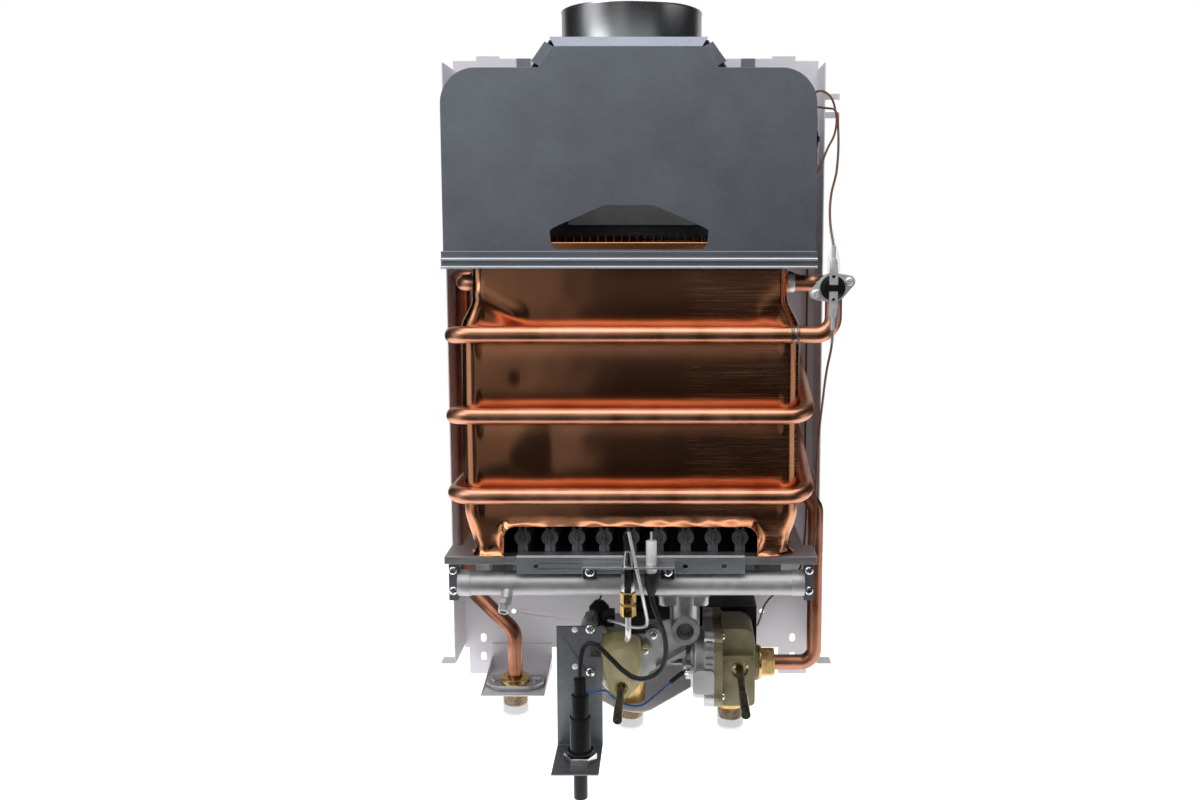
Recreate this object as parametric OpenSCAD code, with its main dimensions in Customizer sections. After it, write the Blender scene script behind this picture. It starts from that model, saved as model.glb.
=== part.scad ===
// Wall-hung gas water heater, shown without its front cover
// Millimetres. X is to the right seen from the front, -Y is the front and Z is up.
// The wall is the plane y = 0. The origin lies midway between the two hanging holes.
// Inside this file heights count from the top of the burner tray, depths from the wall.

/* [Heat exchanger] */
// Width of the copper jacket round the flame
jacket_w = 256; // [248:1:262]
// Depth of the copper jacket
jacket_depth = 124; // [118:1:132]
// Height of the straight wall of the jacket
chamber_h = 145; // [142:1:165]
// Height of the tapered skirt under the straight wall
skirt_h = 34; // [30:1:40]
// Height of the finned core on top
core_h = 53; // [50:1:60]
// Outside diameter of the water tubes
tube_d = 12.7; // [12:0.1:13]
// Wall of the water tubes
tube_wall = 1; // [0.8:0.1:1.2]
// Height of the lowest front run of the coil above the tray
coil_z = 50; // [46:1:54]
// Rise of the coil for each turn
coil_pitch = 61.5; // [56:0.5:63]
// Distance between neighbouring fins
fin_pitch = 6; // [4:0.5:8]
// Thickness of a fin
fin_t = 0.6; // [0.5:0.1:1]

/* [Hood and flue] */
// Outside diameter of the flue collar
flue_d = 110; // [100:1:114]
// Height of the flue collar above the roof
flue_h = 30; // [25:1:45]
// Width of the hood
hood_w = 277; // [272:1:284]
// Height of the hood up to its shoulders
hood_h = 147; // [135:1:165]
// Radius of the hood's shoulders
hood_corner = 26; // [18:1:32]
// Height of the relief window
window_h = 33; // [28:1:40]
// Width of the relief window at its sill
window_w = 116; // [100:1:140]

/* [Wall plate] */
// Thickness of all sheet parts
sheet = 1; // [0.8:0.1:1.2]
// Depth of the side flanges
flange_depth = 50; // [40:1:56]
// Height of the wall plate above the hood's shoulders
plate_rise = 30; // [26:1:40]
// Distance between the two hanging holes
hang_span = 220; // [180:1:230]
// Diameter of the hanging holes
hang_d = 8; // [6:0.5:9]
// Width of the lower wall slots
slot_w = 5; // [4:0.5:6]
// Length of the lower wall slots
slot_l = 8; // [7:0.5:10]
// Distance between the two slots of a side
slot_pitch = 17.5; // [15:0.5:20]

/* [Burner] */
// Number of burner blades
blade_count = 11; // [9:1:11]
// Distance between burner blades
blade_pitch = 21.2; // [18:0.1:21.4]
// Diameter of the gas manifold
manifold_d = 19; // [17:0.5:20]
// Length of the gas manifold
manifold_l = 269; // [262:1:272]

/* [Controls] */
// Diameter of the two control shafts
shaft_d = 7; // [6:0.5:8]
// Depth of the control shaft tips from the wall
shaft_tip = 190; // [180:1:200]
// Diameter of the igniter button
button_d = 11; // [9:0.5:12]
// Travel of the igniter button
button_travel = 7; // [5:0.5:8]
// Push of the gas shaft that lights the pilot
gas_push = 6; // [4:0.5:8]
// Stroke of the push rod between water and gas side
rod_stroke = 4; // [2:0.5:5]

/* [Connections] */
// Outside diameter of the water and gas threads
thread_d = 20.96; // [20:0.01:22]
// Bore of the water and gas connections
thread_bore = 14; // [12:0.5:16]
// Wall of the transport caps
cap_wall = 1; // [0.8:0.1:1.5]

/* [Display] */
// Piece to draw

/* [Hidden] */
$fn = 64;
tube_r = tube_d / 2;
solder_gap = 0.2;
slide_gap = 0.3;
run_gap = 0.05;
bend_swell = 0.05;
bend_lap = 0.6;

// Depths from the wall
jacket_back = 28;
jacket_front = jacket_back + jacket_depth;
neck_back = jacket_back + 4;
neck_front = jacket_front - 2;
hood_rear = 24;
hood_face = jacket_front + 3;
coil_back = jacket_back - solder_gap - tube_r;
coil_front = jacket_front + solder_gap + tube_r;

// Widths, as distances from the middle
jacket_x = jacket_w / 2;
neck_x = jacket_x - 10;
skirt_x = jacket_x - 8;
coil_x = jacket_x + solder_gap + tube_r;
coil_outer = coil_x + tube_r;
hot_x = -(coil_outer + 2.2 + tube_r);
feed_x = coil_outer + 4.8 + tube_r;
flange_x = tube_r - hot_x + 1.2;
plate_x = flange_x + sheet;

// Heights above the tray
chamber_z = skirt_h + chamber_h;
neck_z = chamber_z + 18;
jacket_top = neck_z + core_h;
core_z = neck_z + 13;
hood_z = jacket_top - 28;
shoulder_z = hood_z + hood_h;
roof_rise = 21;
roof_z = shoulder_z + roof_rise;
roof_foot = 73.5;
roof_head = 58.5;
lip_inset = 6;
lip_proud = 2;
lip_depth = 7;
flue_depth = hood_face - 70;
plate_top = shoulder_z + plate_rise;
hang_z = plate_top - 21;
plate_low = -130;
bend_r = 16;
elbow_r = 13;

// Valve group
manifold_depth = jacket_front - 11;
manifold_z = -14 - manifold_d / 2;
bracket_face = hood_face - 4;
valve_z = -112;
valve_depth = 80;
port_x = 42;
port_z = -65;
port_depth = 136;
neck_depth = 122;
gas_face = 95;
gas_x = -9;
gas_z = -113;
lug_places = [[-26.5, -79], [9.5, -94]];
water_x = 87;
water_z = -109;
water_face = valve_depth + 20;
water_back = valve_depth - 22;
shelf_z = -148;
hot_out_x = -106;
hot_out_depth = 45;
cold_x = 81;
cold_depth = valve_depth - 8;
gas_in_x = -4;
gas_in_depth = 70;
igniter_x = -41;
bracket_x = -43.5;
bracket_screw_x = bracket_x + 9;
bracket_screws_z = [-70.5, -106.5];
igniter_depth = 142;
igniter_face = 115;
igniter_z = -168;
shaft_r = shaft_d / 2;
stem_r = shaft_r - 0.4;
knob_seat = 34;
button_r = button_d / 2;
thread_r = thread_d / 2;
cap_r = thread_r + slide_gap + cap_wall;
rod_r = 2.5;
rod_end = 7;
cover_x = 43;
flange_half = 30;
seal_x = 66;
bolt_z = [-80, -131];
bolt_depths = [valve_depth - 26, valve_depth + 25];
earth_x = 44.5;
earth_z = -110;
earth_depth = 103;
pilot_x = -2;
pilot_depth = bracket_face + 7;
limit_x = feed_x - 2;
limit_z = core_z - 1.5;
limit_depth = coil_front + tube_r;
spill_z = shoulder_z - 48;
spill_depth = 100;

core_pitch = 21;
core_front = coil_front - 26.5;
core_rear = core_front - 4 * core_pitch;

// Routes of the leads, as right, depth and height
ignition_route = [
    [16, 158, -28], [17, 158, -34], [21, 157, -46], [25, 155, -58], [27, 153, -70],
    [26, 151, -82], [22, 149, -92], [14, 147, -98], [4, 146, -99], [-6, 144, -94],
    [-16, 142, -85], [-25, 140, -77], [-32, 139, -73.5], [-37, 139, -76], [-39.5, 140, -82],
    [-40.5, 142, -91], [igniter_x, igniter_depth, -101]
];
limit_up_route = [
    [limit_x, limit_depth + 5, limit_z + 30.4], [limit_x - 2, limit_depth, limit_z + 46],
    [limit_x, 150, limit_z + 66], [limit_x + 7, 130, limit_z + 88], [feed_x + 9, 105, 330],
    [feed_x + 10, 80, 345], [feed_x + 4, 62, 349], [148, 66, 349], [143, 84, 343],
    [140, 94, spill_z + 26], [hood_w / 2 + 4.5, spill_depth, spill_z + 19.8]
];
spill_route = [
    [hood_w / 2 + 4.5, spill_depth, spill_z - 19.8], [142, 96, spill_z - 26],
    [148, 84, spill_z - 24], [158, 68, 316], [165, 60, 330], [166, 55, 346], [160, 52, 361],
    [152, 47, 364], [149, 36, 356], [149, 24, 340], [149, 16, 316], [149, 14, 280],
    [149, 14, 180], [149, 14, 60], [149, 14, -30], [144, 15, -54], [128, 18, -64],
    [100, 24, -70], [60, 36, -70], [10, 50, -62], [-12, 58, -55], [-25, 68, -53], [-30, 74, -60.6]
];
limit_down_route = [
    [limit_x, limit_depth + 5, limit_z - 30.4], [limit_x + 1, limit_depth - 6, limit_z - 44],
    [limit_x - 1, 150, 146], [limit_x - 1, 128, 118], [limit_x - 1, 106, 84],
    [limit_x - 1, 92, 40], [limit_x - 1, 88, -6], [146, 86, -30], [132, 84, -42],
    [119, 80, -52], [112, 70, -63], [109, 58, -76], [107.5, 50, -86], [106.1, 42, -94]
];
thermocouple_route = [
    [-1, 162.5, 23], [1.5, 162.5, 11], [4.5, 162.5, -4], [7.5, 162, -18], [10, 160, -32],
    [11.5, 152, -44], [12, 138, -56], [9, 122, -66], [0, 112, -70], [-13, 104, -69],
    [-21, 96.5, -70]
];
earth_route = [
    [-35.2, 142, -111], [-30, 143, -112], [-25, 142, -111], [-20, 138, -113], [-16, 134, -119],
    [-9, 131, -125.5], [-1, 129, -129], [7, 127, -129.5], [17, 122, -124.5], [28, 115, -117.5],
    [36, 109, -113], [40.4, 104.8, -111.3]
];

function unit(v) = v / norm(v);
function at(p) = [p[0], -p[1], p[2]];
function frame_for(t) = let(
    a = unit(cross(t, abs(t[2]) < 0.9 ? [0, 0, 1] : [1, 0, 0])),
    b = cross(t, a)
) [a, b];
function columns(e, f, g, c) = [
    [e[0], f[0], g[0], c[0]], [e[1], f[1], g[1], c[1]], [e[2], f[2], g[2], c[2]], [0, 0, 0, 1]
];

// Routes of the water tubes, as right, depth and height
coil_route = [
    [coil_x, coil_back + 25, coil_z - 3], [coil_x, coil_back, coil_z - 3],
    [-coil_x, coil_back, coil_z - 2], [-coil_x, coil_front, coil_z],
    for (i = [0:1]) let(z = coil_z + i * coil_pitch) each [
        [coil_x, coil_front, z], [coil_x, coil_back, z + 0.62 * coil_pitch],
        [-coil_x, coil_back, z + 0.72 * coil_pitch], [-coil_x, coil_front, z + coil_pitch]
    ],
    [jacket_x - 3, coil_front, coil_z + 2 * coil_pitch]
];
feed_route = [
    coil_route[0], [coil_x, coil_route[0][1] + 24, coil_z - 3],
    [feed_x, coil_route[0][1] + 24, coil_z - 32], [feed_x, coil_route[0][1] + 24, -116],
    [118, coil_route[0][1] + 24, -116]
];
riser_route = [
    [jacket_x - 3, coil_front, coil_z + 2 * coil_pitch],
    [feed_x, coil_front, coil_z + 2 * coil_pitch], [feed_x, coil_front, core_z],
    [feed_x, core_front, core_z], [neck_x + 1, core_front, core_z]
];
hot_route = [
    [-neck_x - 1, core_rear, core_z], [hot_x, core_rear, core_z], [hot_x, 22, core_z],
    [hot_x, 22, -66], [hot_out_x, hot_out_depth, -98], [hot_out_x, hot_out_depth, shelf_z + 10]
];
// Least gap of the coil to itself, measured on points along its route
function between(p, q, n) = [for (i = [0:n - 1]) p + (q - p) * i / n];
coil_points = [for (i = [0:len(coil_route) - 2]) each between(coil_route[i], coil_route[i + 1], 12)];
coil_gap = min([
    for (i = [0:len(coil_points) - 20]) for (j = [i + 19:len(coil_points) - 1])
        norm(coil_points[i] - coil_points[j])
]) - tube_d;
echo(least_gap_of_the_coil_to_itself = coil_gap);

// Shapes that several pieces use
module place() {
    translate([0, 0, -hang_z])
        children();
}

module block(x0, x1, d0, d1, z0, z1) {
    translate([x0, -d1, z0])
        cube([x1 - x0, d1 - d0, z1 - z0]);
}

module rod_x(d, z, x0, x1, r) {
    translate([x0, -d, z])
        rotate([0, 90, 0])
            cylinder(h = x1 - x0, r = r);
}

module rod_y(x, z, d0, d1, r) {
    translate([x, -d0, z])
        rotate([90, 0, 0])
            cylinder(h = d1 - d0, r = r);
}

module rod_z(x, d, z0, z1, r) {
    translate([x, -d, z0])
        cylinder(h = z1 - z0, r = r);
}

module hex_z(x, d, z0, z1, flats) {
    translate([x, -d, z0])
        cylinder(h = z1 - z0, d = flats / cos(30), $fn = 6);
}

module front_cut(d0, d1) {
    translate([0, -d0, 0])
        rotate([90, 0, 0])
            linear_extrude(d1 - d0)
                children();
}

module side_cut(x0, x1) {
    translate([x1, 0, 0])
        rotate([90, 0, -90])
            linear_extrude(x1 - x0)
                children();
}

module soft_square(x0, x1, z0, z1, r) {
    translate([x0 + r, z0])
        square([x1 - x0 - 2 * r, z1 - z0]);
    translate([x0, z0 + r])
        square([x1 - x0, z1 - z0 - 2 * r]);
    for (x = [x0 + r, x1 - r])
        for (z = [z0 + r, z1 - r])
            translate([x, z])
                circle(r);
}

// A round pipe along right, depth and height points. Each bend is a shade wider than the
// straight pieces and laps them, so that the pieces join into one solid.
module pipe(route, bend, r = tube_r, wall = tube_wall) {
    p = [for (q = route) at(q)];
    n = len(p);
    turn = [for (i = [0:n - 1]) i == 0 || i == n - 1 ? 0 :
        acos(unit(p[i] - p[i - 1]) * unit(p[i + 1] - p[i]))];
    tangent = [for (a = turn) bend * tan(a / 2)];
    trim = [for (t = tangent) max(0, t - bend_lap)];
    for (i = [0:n - 2]) {
        u = unit(p[i + 1] - p[i]);
        f = frame_for(u);
        multmatrix(columns(f[0], f[1], u, p[i] + u * trim[i]))
            linear_extrude(norm(p[i + 1] - p[i]) - trim[i] - trim[i + 1])
                pipe_section(r, wall);
    }
    for (i = [1:n - 2]) {
        u = unit(p[i] - p[i - 1]);
        v = unit(p[i + 1] - p[i]);
        side = unit(v - u * (u * v));
        start = p[i] - u * tangent[i];
        multmatrix(columns(-side, u, cross(-side, u), start + side * bend))
            rotate_extrude(angle = turn[i])
                translate([bend, 0])
                    pipe_section(r + bend_swell, wall);
    }
}

module pipe_section(r, wall) {
    difference() {
        circle(r);
        circle(r - wall);
    }
}

// A lead swept along its route with one ring at each point
module lead(route, r, sides = 8) {
    p = [for (q = route) at(q)];
    n = len(p);
    tangents = [for (i = [0:n - 1]) unit(p[min(i + 1, n - 1)] - p[max(i - 1, 0)])];
    up = unit(cross(tangents[0], [0.31, 0.57, 0.76]));
    points = [for (i = [0:n - 1]) let(
        a = unit(up - tangents[i] * (up * tangents[i])),
        b = cross(tangents[i], a)
    ) for (k = [0:sides - 1]) p[i] + r * (a * cos(360 * k / sides) + b * sin(360 * k / sides))];
    faces = concat(
        [[for (k = [sides - 1:-1:0]) k]],
        [for (i = [0:n - 2]) for (k = [0:sides - 1]) let(m = (k + 1) % sides)
            each [[i * sides + k, i * sides + m, (i + 1) * sides + m],
                [i * sides + k, (i + 1) * sides + m, (i + 1) * sides + k]]],
        [[for (k = [0:sides - 1]) (n - 1) * sides + k]]
    );
    polyhedron(points, [for (f = faces) [for (k = [len(f) - 1:-1:0]) f[k]]], convexity = 6);
}

module pan_screw(x, z, d, head = 3.6) {
    rod_y(x, z, d, d + 2.4, head);
}

// Wall plate and brackets
module wall_plate() {
    low_x = plate_x - 4;
    slot_x = plate_x - 17;
    color("WhiteSmoke")
    difference() {
        union() {
            block(-plate_x, plate_x, 0, sheet, plate_low, plate_top - 4);
            block(-plate_x + 40, plate_x - 40, 0, sheet, plate_top - 4, plate_top - 2);
            for (s = [-1, 1]) {
                block(min(s * (plate_x - 20), s * (plate_x - 40)),
                    max(s * (plate_x - 20), s * (plate_x - 40)), 0, sheet, plate_top - 4, plate_top);
                block(min(s * flange_x, s * plate_x), max(s * flange_x, s * plate_x),
                    0, flange_depth, plate_low + 4, plate_top - 12);
                block(min(s * low_x, s * (low_x - 26)), max(s * low_x, s * (low_x - 26)),
                    0, sheet, plate_low - 25, plate_low);
                block(min(s * plate_x, s * (plate_x + 12)), max(s * plate_x, s * (plate_x + 12)),
                    flange_depth - 14, flange_depth, plate_low + 4, plate_low + 4 + sheet);
            }
            for (z = [344, 359])
                block(plate_x, plate_x + 12, flange_depth - 3, flange_depth - 3 + sheet, z - 2, z + 3);
        }
        for (s = [-1, 1]) {
            rod_y(s * hang_span / 2, hang_z, -1, sheet + 1, hang_d / 2);
            rod_y(s * (plate_x - 45), -96, -1, sheet + 1, 2.2);
            for (z = [-121, -121 - slot_pitch])
                front_cut(-1, sheet + 1)
                    soft_square(s * slot_x - slot_w / 2, s * slot_x + slot_w / 2,
                        z - slot_l / 2, z + slot_l / 2, slot_w / 2 - 0.001);
        }
    }
}

module shelf_bracket(x, half, depth, hole_depth) {
    color("WhiteSmoke")
    difference() {
        union() {
            block(x - half, x + half, sheet, 2 * sheet, shelf_z - sheet, plate_low + 4);
            block(x - half, x + half, 2 * sheet, depth, shelf_z - sheet, shelf_z);
            for (s = [-1, 1])
                side_cut(x + s * (half - sheet / 2) - sheet / 2, x + s * (half - sheet / 2) + sheet / 2)
                    polygon([[2 * sheet, shelf_z], [depth - 4, shelf_z], [2 * sheet, shelf_z + 10]]);
        }
        rod_z(x, hole_depth, shelf_z - 2 * sheet, shelf_z + 1, thread_r + slide_gap);
    }
}

module hot_bracket() {
    shelf_bracket(hot_out_x, 27.5, hot_out_depth + 20, hot_out_depth);
}

module gas_bracket() {
    nose = gas_in_depth + 27;
    color("WhiteSmoke")
    difference() {
        union() {
            block(gas_in_x - 28, gas_in_x + 56, sheet, 2 * sheet, shelf_z - sheet, plate_low + 4);
            translate([0, 0, shelf_z - sheet])
                linear_extrude(sheet)
                    polygon([[gas_in_x - 28, -2 * sheet], [gas_in_x - 28, -gas_in_depth], [gas_in_x - 12, 8 - nose],
                        [gas_in_x + 3, -nose], [gas_in_x + 12, -nose], [gas_in_x + 18, 4 - nose],
                        [gas_in_x + 56, 56 - nose], [gas_in_x + 56, -2 * sheet]]);
        }
        rod_z(gas_in_x, gas_in_depth, shelf_z - 2 * sheet, shelf_z + 1, thread_r + slide_gap);
    }
}

module hood_hangers() {
    color("SlateGray")
    for (x = [-97, 97])
        side_cut(x - 6, x + 6)
            polygon([[sheet, shoulder_z], [48, shoulder_z], [48, shoulder_z + sheet],
                [2 * sheet, shoulder_z + sheet], [2 * sheet, plate_top - 2], [sheet, plate_top - 2]]);
}

// Hood and flue
function roof_x(z, inset) = let(run = (roof_foot - roof_head) / roof_rise)
    roof_foot - run * (z - shoulder_z) - inset * sqrt(1 + run * run);

module hood_outline(inset, roof_inset) {
    half = hood_w / 2 - inset;
    r = hood_corner - inset;
    straight = hood_h - hood_corner;
    top = roof_z - roof_inset;
    low = shoulder_z - 4;
    translate([-half, hood_z])
        square([2 * half, straight]);
    translate([-half + r, hood_z])
        square([2 * (half - r), hood_h - inset]);
    for (s = [-1, 1])
        translate([s * (half - r), hood_z + straight])
            circle(r);
    polygon([[-roof_x(low, roof_inset), low], [roof_x(low, roof_inset), low],
        [roof_x(top, roof_inset), top], [-roof_x(top, roof_inset), top]]);
}

module hood_shell() {
    lip_back = hood_face - lip_depth - sheet - slide_gap;
    color("LightSlateGray")
    difference() {
        front_cut(hood_rear, hood_face - sheet)
            hood_outline(0, 0);
        front_cut(hood_rear + sheet, hood_face)
            hood_outline(sheet, sheet);
        front_cut(hood_rear + sheet, hood_face)
            translate([-hood_w / 2 + sheet, hood_z - 1])
                square([hood_w - 2 * sheet, 20]);
        rod_z(0, flue_depth, roof_z - 10, roof_z + 10, flue_d / 2 - sheet);
        block(-hood_w / 2, hood_w / 2, lip_back, hood_face, shoulder_z, roof_z + 1);
    }
}

module window(grow) {
    w = window_w / 2 + grow;
    sill = hood_z + 14;
    side = 0.44 * window_h;
    polygon([[-w + 3, sill], [w - 3, sill], [w, sill + 4], [w + 1, sill + side], [w - 4, sill + side + 3],
        [23, sill + window_h - 2], [18, sill + window_h], [-18, sill + window_h],
        [-23, sill + window_h - 2], [-w + 4, sill + side + 3], [-w - 1, sill + side], [-w, sill + 4]]);
}

// Section of the lips round the roof: outwards from the front sheet and back towards the wall
module lip_section() {
    rise = lip_inset + lip_proud;
    lap = 0.6;
    fold = 0.3;
    polygon([[-lap, 0], [fold, 0], [rise, lip_depth], [rise, lip_depth + sheet],
        [lip_inset, lip_depth + sheet], [fold, sheet], [-lap, sheet]]);
}

// One lip along the roof's top, narrower at its foot, and one along each slope
module hood_lips() {
    slope = atan2(roof_foot - roof_head, roof_rise);
    edge_z = roof_z - lip_inset;
    edge_x = roof_x(edge_z, lip_inset);
    run = (edge_z - shoulder_z - 1) / cos(slope);
    intersection() {
        translate([hood_w / 2, -hood_face, edge_z])
            rotate([0, -90, 0])
                linear_extrude(hood_w)
                    lip_section();
        front_cut(hood_face - 20, hood_face + 1)
            polygon([[-edge_x + 2, edge_z - 1], [edge_x - 2, edge_z - 1],
                [edge_x + 3.6, roof_z + 3], [-edge_x - 3.6, roof_z + 3]]);
    }
    for (s = [0, 1])
        mirror([s, 0, 0])
            translate([edge_x, -hood_face, edge_z])
                rotate([0, -slope, 0])
                    translate([0, 0, -run])
                        linear_extrude(run)
                            lip_section();
}

module hood_front() {
    z = hood_z;
    y = hood_face;
    color("SlateGray") {
        front_cut(hood_face - sheet, hood_face)
            difference() {
                hood_outline(0, lip_inset);
                window(0);
            }
        hood_lips();
        side_cut(-hood_w / 2 - 1.5, hood_w / 2 + 1.5)
            polygon([[y, z], [y + 3, z], [y + 3, z + 2], [y + 1.4, z + 2.6], [y + 1.4, z + 5],
                [y + 2.4, z + 5.8], [y + 2.4, z + 8], [y + 0.9, z + 8.6], [y + 0.9, z + 12.6], [y, z + 13]]);
    }
}

module draught_baffle() {
    color("LightSlateGray") {
        block(-56, 56, hood_rear + sheet, 41, hood_z + 80, hood_z + 80 + sheet);
        block(-56, 56, 40, 41, hood_z + 32, hood_z + 80);
    }
}

module flue_collar() {
    color("Silver")
    difference() {
        rod_z(0, flue_depth, roof_z, roof_z + flue_h, flue_d / 2);
        rod_z(0, flue_depth, roof_z - 1, roof_z + flue_h + 1, flue_d / 2 - sheet);
    }
}

// Heat exchanger
function ring(z, x, d0, d1, r) = [
    for (c = [[x - r, d0 + r, 90], [-x + r, d0 + r, 180], [-x + r, d1 - r, 270], [x - r, d1 - r, 0]])
        for (k = [0:4]) let(a = c[2] - 90 + k * 22.5)
            [c[0] + r * cos(a), -c[1] + r * sin(a), z]
];

module loft(rings) {
    m = len(rings[0]);
    n = len(rings);
    polyhedron(
        [for (r = rings) each r],
        concat(
            [[for (k = [0:m - 1]) k]],
            [for (i = [0:n - 2]) for (k = [0:m - 1]) let(l = (k + 1) % m)
                each [[i * m + k, (i + 1) * m + l, i * m + l], [i * m + k, (i + 1) * m + k, (i + 1) * m + l]]],
            [[for (k = [m - 1:-1:0]) (n - 1) * m + k]]
        ),
        convexity = 4
    );
}

module jacket_solid(inset, over) {
    loft([
        ring(-over, skirt_x - inset, jacket_back + 6 + inset, jacket_front - 6 - inset, 12 - inset),
        ring(skirt_h, jacket_x - inset, jacket_back + inset, jacket_front - inset, 12 - inset),
        ring(chamber_z, jacket_x - inset, jacket_back + inset, jacket_front - inset, 12 - inset),
        ring(neck_z, neck_x - inset, neck_back + inset, neck_front - inset, 8 - inset),
        ring(jacket_top + over, neck_x - inset, neck_back + inset, neck_front - inset, 8 - inset)
    ]);
}

module copper_jacket() {
    cut_x = skirt_x - 23;
    color("Chocolate")
    difference() {
        jacket_solid(0, 0);
        jacket_solid(sheet, 0.5);
        front_cut(jacket_front - 30, jacket_front + 10)
            soft_square(-cut_x, cut_x, -20, skirt_h - 9, 9);
        for (i = [0:4])
            rod_x(core_rear + i * core_pitch, core_z, -jacket_w, jacket_w, tube_r - 0.2);
    }
}

module fins() {
    count = floor((neck_x - 4) / fin_pitch);
    color("Sienna")
    for (k = [-count:count])
        difference() {
            block(k * fin_pitch - fin_t / 2, k * fin_pitch + fin_t / 2,
                neck_back + 4, neck_front - 4, core_z - 10, jacket_top - 4);
            for (i = [0:4])
                rod_x(core_rear + i * core_pitch, core_z, k * fin_pitch - 2, k * fin_pitch + 2, tube_r - 0.4);
        }
}

module finned_tubes() {
    color("Sienna")
    for (i = [0:4])
        difference() {
            rod_x(core_rear + i * core_pitch, core_z, -neck_x - 1, neck_x + 1, tube_r - 0.4);
            rod_x(core_rear + i * core_pitch, core_z, -neck_x - 2, neck_x + 2, tube_r - 0.4 - tube_wall);
        }
}

module return_bends() {
    r = core_pitch / 2;
    color("Chocolate")
    for (b = [[-1, 3], [-1, 1], [1, 2], [1, 0]])
        translate([b[0] * (neck_x + 1), -core_rear - (b[1] + 0.5) * core_pitch, core_z])
            rotate([0, 0, b[0] > 0 ? -90 : 90])
                rotate_extrude(angle = 180)
                    translate([r, 0])
                        difference() {
                            circle(tube_r - 0.4);
                            circle(tube_r - 0.4 - tube_wall);
                        }
}

module coil_tube() {
    color("Peru")
        pipe(coil_route, bend_r);
}

module feed_tube() {
    color("Peru")
        pipe(feed_route, elbow_r - 1);
}

module riser_tube() {
    color("Peru")
        pipe(riser_route, elbow_r);
}

module hot_tube() {
    color("Peru")
        pipe(hot_route, elbow_r - 1);
}

// Thermostats: one on the riser, facing front, and one on the hood's right side
module limit_place() {
    translate([limit_x, -limit_depth, limit_z])
        rotate([90, 0, 0])
            children();
}

module spill_place() {
    translate([hood_w / 2, -spill_depth, spill_z])
        rotate([90, 0, 90])
            children();
}

module ear_plate() {
    rotate(20)
        linear_extrude(sheet)
            difference() {
                union() {
                    circle(11);
                    for (s = [-1, 1])
                        translate([s * 13, 0])
                            circle(4.6);
                    translate([-13, -4.6])
                        square([26, 9.2]);
                }
                for (s = [-1, 1])
                    translate([s * 13, 0])
                        circle(1.8);
            }
}

module thermostat_body() {
    translate([0, 0, sheet]) {
        cylinder(h = 4, r = 9.2);
        translate([0, 0, 4])
            cylinder(h = 2, r1 = 8, r2 = 7);
    }
}

module thermostat_bodies() {
    color("DimGray") {
        limit_place()
            thermostat_body();
        spill_place()
            thermostat_body();
    }
}

module blade_pair() {
    for (s = [-1, 1])
        translate([-3.15, s > 0 ? 9.3 : -19.3, sheet + 2])
            cube([6.3, 10, 0.8]);
}

module thermostat_plates() {
    color("Silver") {
        limit_place() {
            ear_plate();
            blade_pair();
        }
        spill_place() {
            ear_plate();
            blade_pair();
        }
    }
}

module terminal_sleeves() {
    color("WhiteSmoke", 0.6)
    limit_place()
        for (s = [-1, 1])
            translate([-4.5, s > 0 ? 12 : -30, sheet])
                difference() {
                    cube([9, 18, 5]);
                    translate([1, s > 0 ? -1 : 9.5, 1])
                        cube([7, 9.5, 3]);
                }
}

// Burner
module burner_tray() {
    half = coil_outer + 3;
    color("DarkGray")
    difference() {
        union() {
            block(-half + 8, half - 8, sheet, jacket_front - 34, -sheet, 0);
            block(-half, half, jacket_front - 34, jacket_front - 2, -sheet, 0);
            block(-half, half, jacket_front - 2 - sheet, jacket_front - 2, -6, -sheet);
            block(-half + 8, half - 8, sheet, 2 * sheet, -24, -sheet);
            for (s = [-1, 1])
                block(s > 0 ? half - sheet : -half, s > 0 ? half : -half + sheet,
                    jacket_front - 34, jacket_front - 2 - sheet, -6, -sheet);
        }
        block(-skirt_x + 6, skirt_x - 6, jacket_back + 16, jacket_front - 14, -10, 1);
    }
}

module burner_blades() {
    color("DimGray")
    for (k = [0:blade_count - 1])
        translate([(k - (blade_count - 1) / 2) * blade_pitch, 0, 0]) {
            front_cut(jacket_back + 16, jacket_front - 14)
                polygon([[-4, -8], [4, -8], [4, 3], [6.4, 8], [6.4, 17], [4.6, 20], [1.2, 20], [1.2, 17],
                    [-1.2, 17], [-1.2, 20], [-4.6, 20], [-6.4, 17], [-6.4, 8], [-4, 3]]);
            side_cut(-5.5, 5.5)
                polygon([[jacket_back + 30, -8], [jacket_back + 30, -26], [manifold_depth - 20, -34],
                    [manifold_depth - 17, -34], [manifold_depth - 17, -13], [manifold_depth - 20, -8]]);
        }
}

module front_bracket() {
    z0 = -13;
    color("SlateGray")
    difference() {
        union() {
            block(-88, 88, bracket_face - sheet, bracket_face, z0, sheet);
            block(-88, 88, bracket_face - 12, bracket_face - sheet, 0, sheet);
        }
        for (x = [-73, 42, 72])
            rod_y(x, -7, bracket_face - 5, bracket_face + 5, 2.2);
    }
}

module gas_manifold() {
    half = manifold_l / 2;
    r = manifold_d / 2;
    color("Silver")
    difference() {
        union() {
            rod_x(manifold_depth, manifold_z, -half, half, r);
            for (s = [-1, 1])
                rod_x(manifold_depth, manifold_z, s > 0 ? half - 10 : -half, s > 0 ? half : -half + 10, r + 0.6);
            block(port_x - 21, port_x + 19, manifold_depth - 16.5, manifold_depth, -35, manifold_z - 4);
        }
        rod_x(manifold_depth, manifold_z, -half + 3, half - 3, r - 2.5);
        rod_z(port_x, neck_depth + 5, -36, manifold_z, 4);
    }
}

module jets() {
    r = manifold_d / 2;
    color("Goldenrod")
    difference() {
        for (k = [0:blade_count - 1])
            rod_y((k - (blade_count - 1) / 2) * blade_pitch, manifold_z,
                manifold_depth - r - 5, manifold_depth - r + 2, 2.6);
        rod_x(manifold_depth, manifold_z, -manifold_l / 2, manifold_l / 2, r);
    }
}

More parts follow.
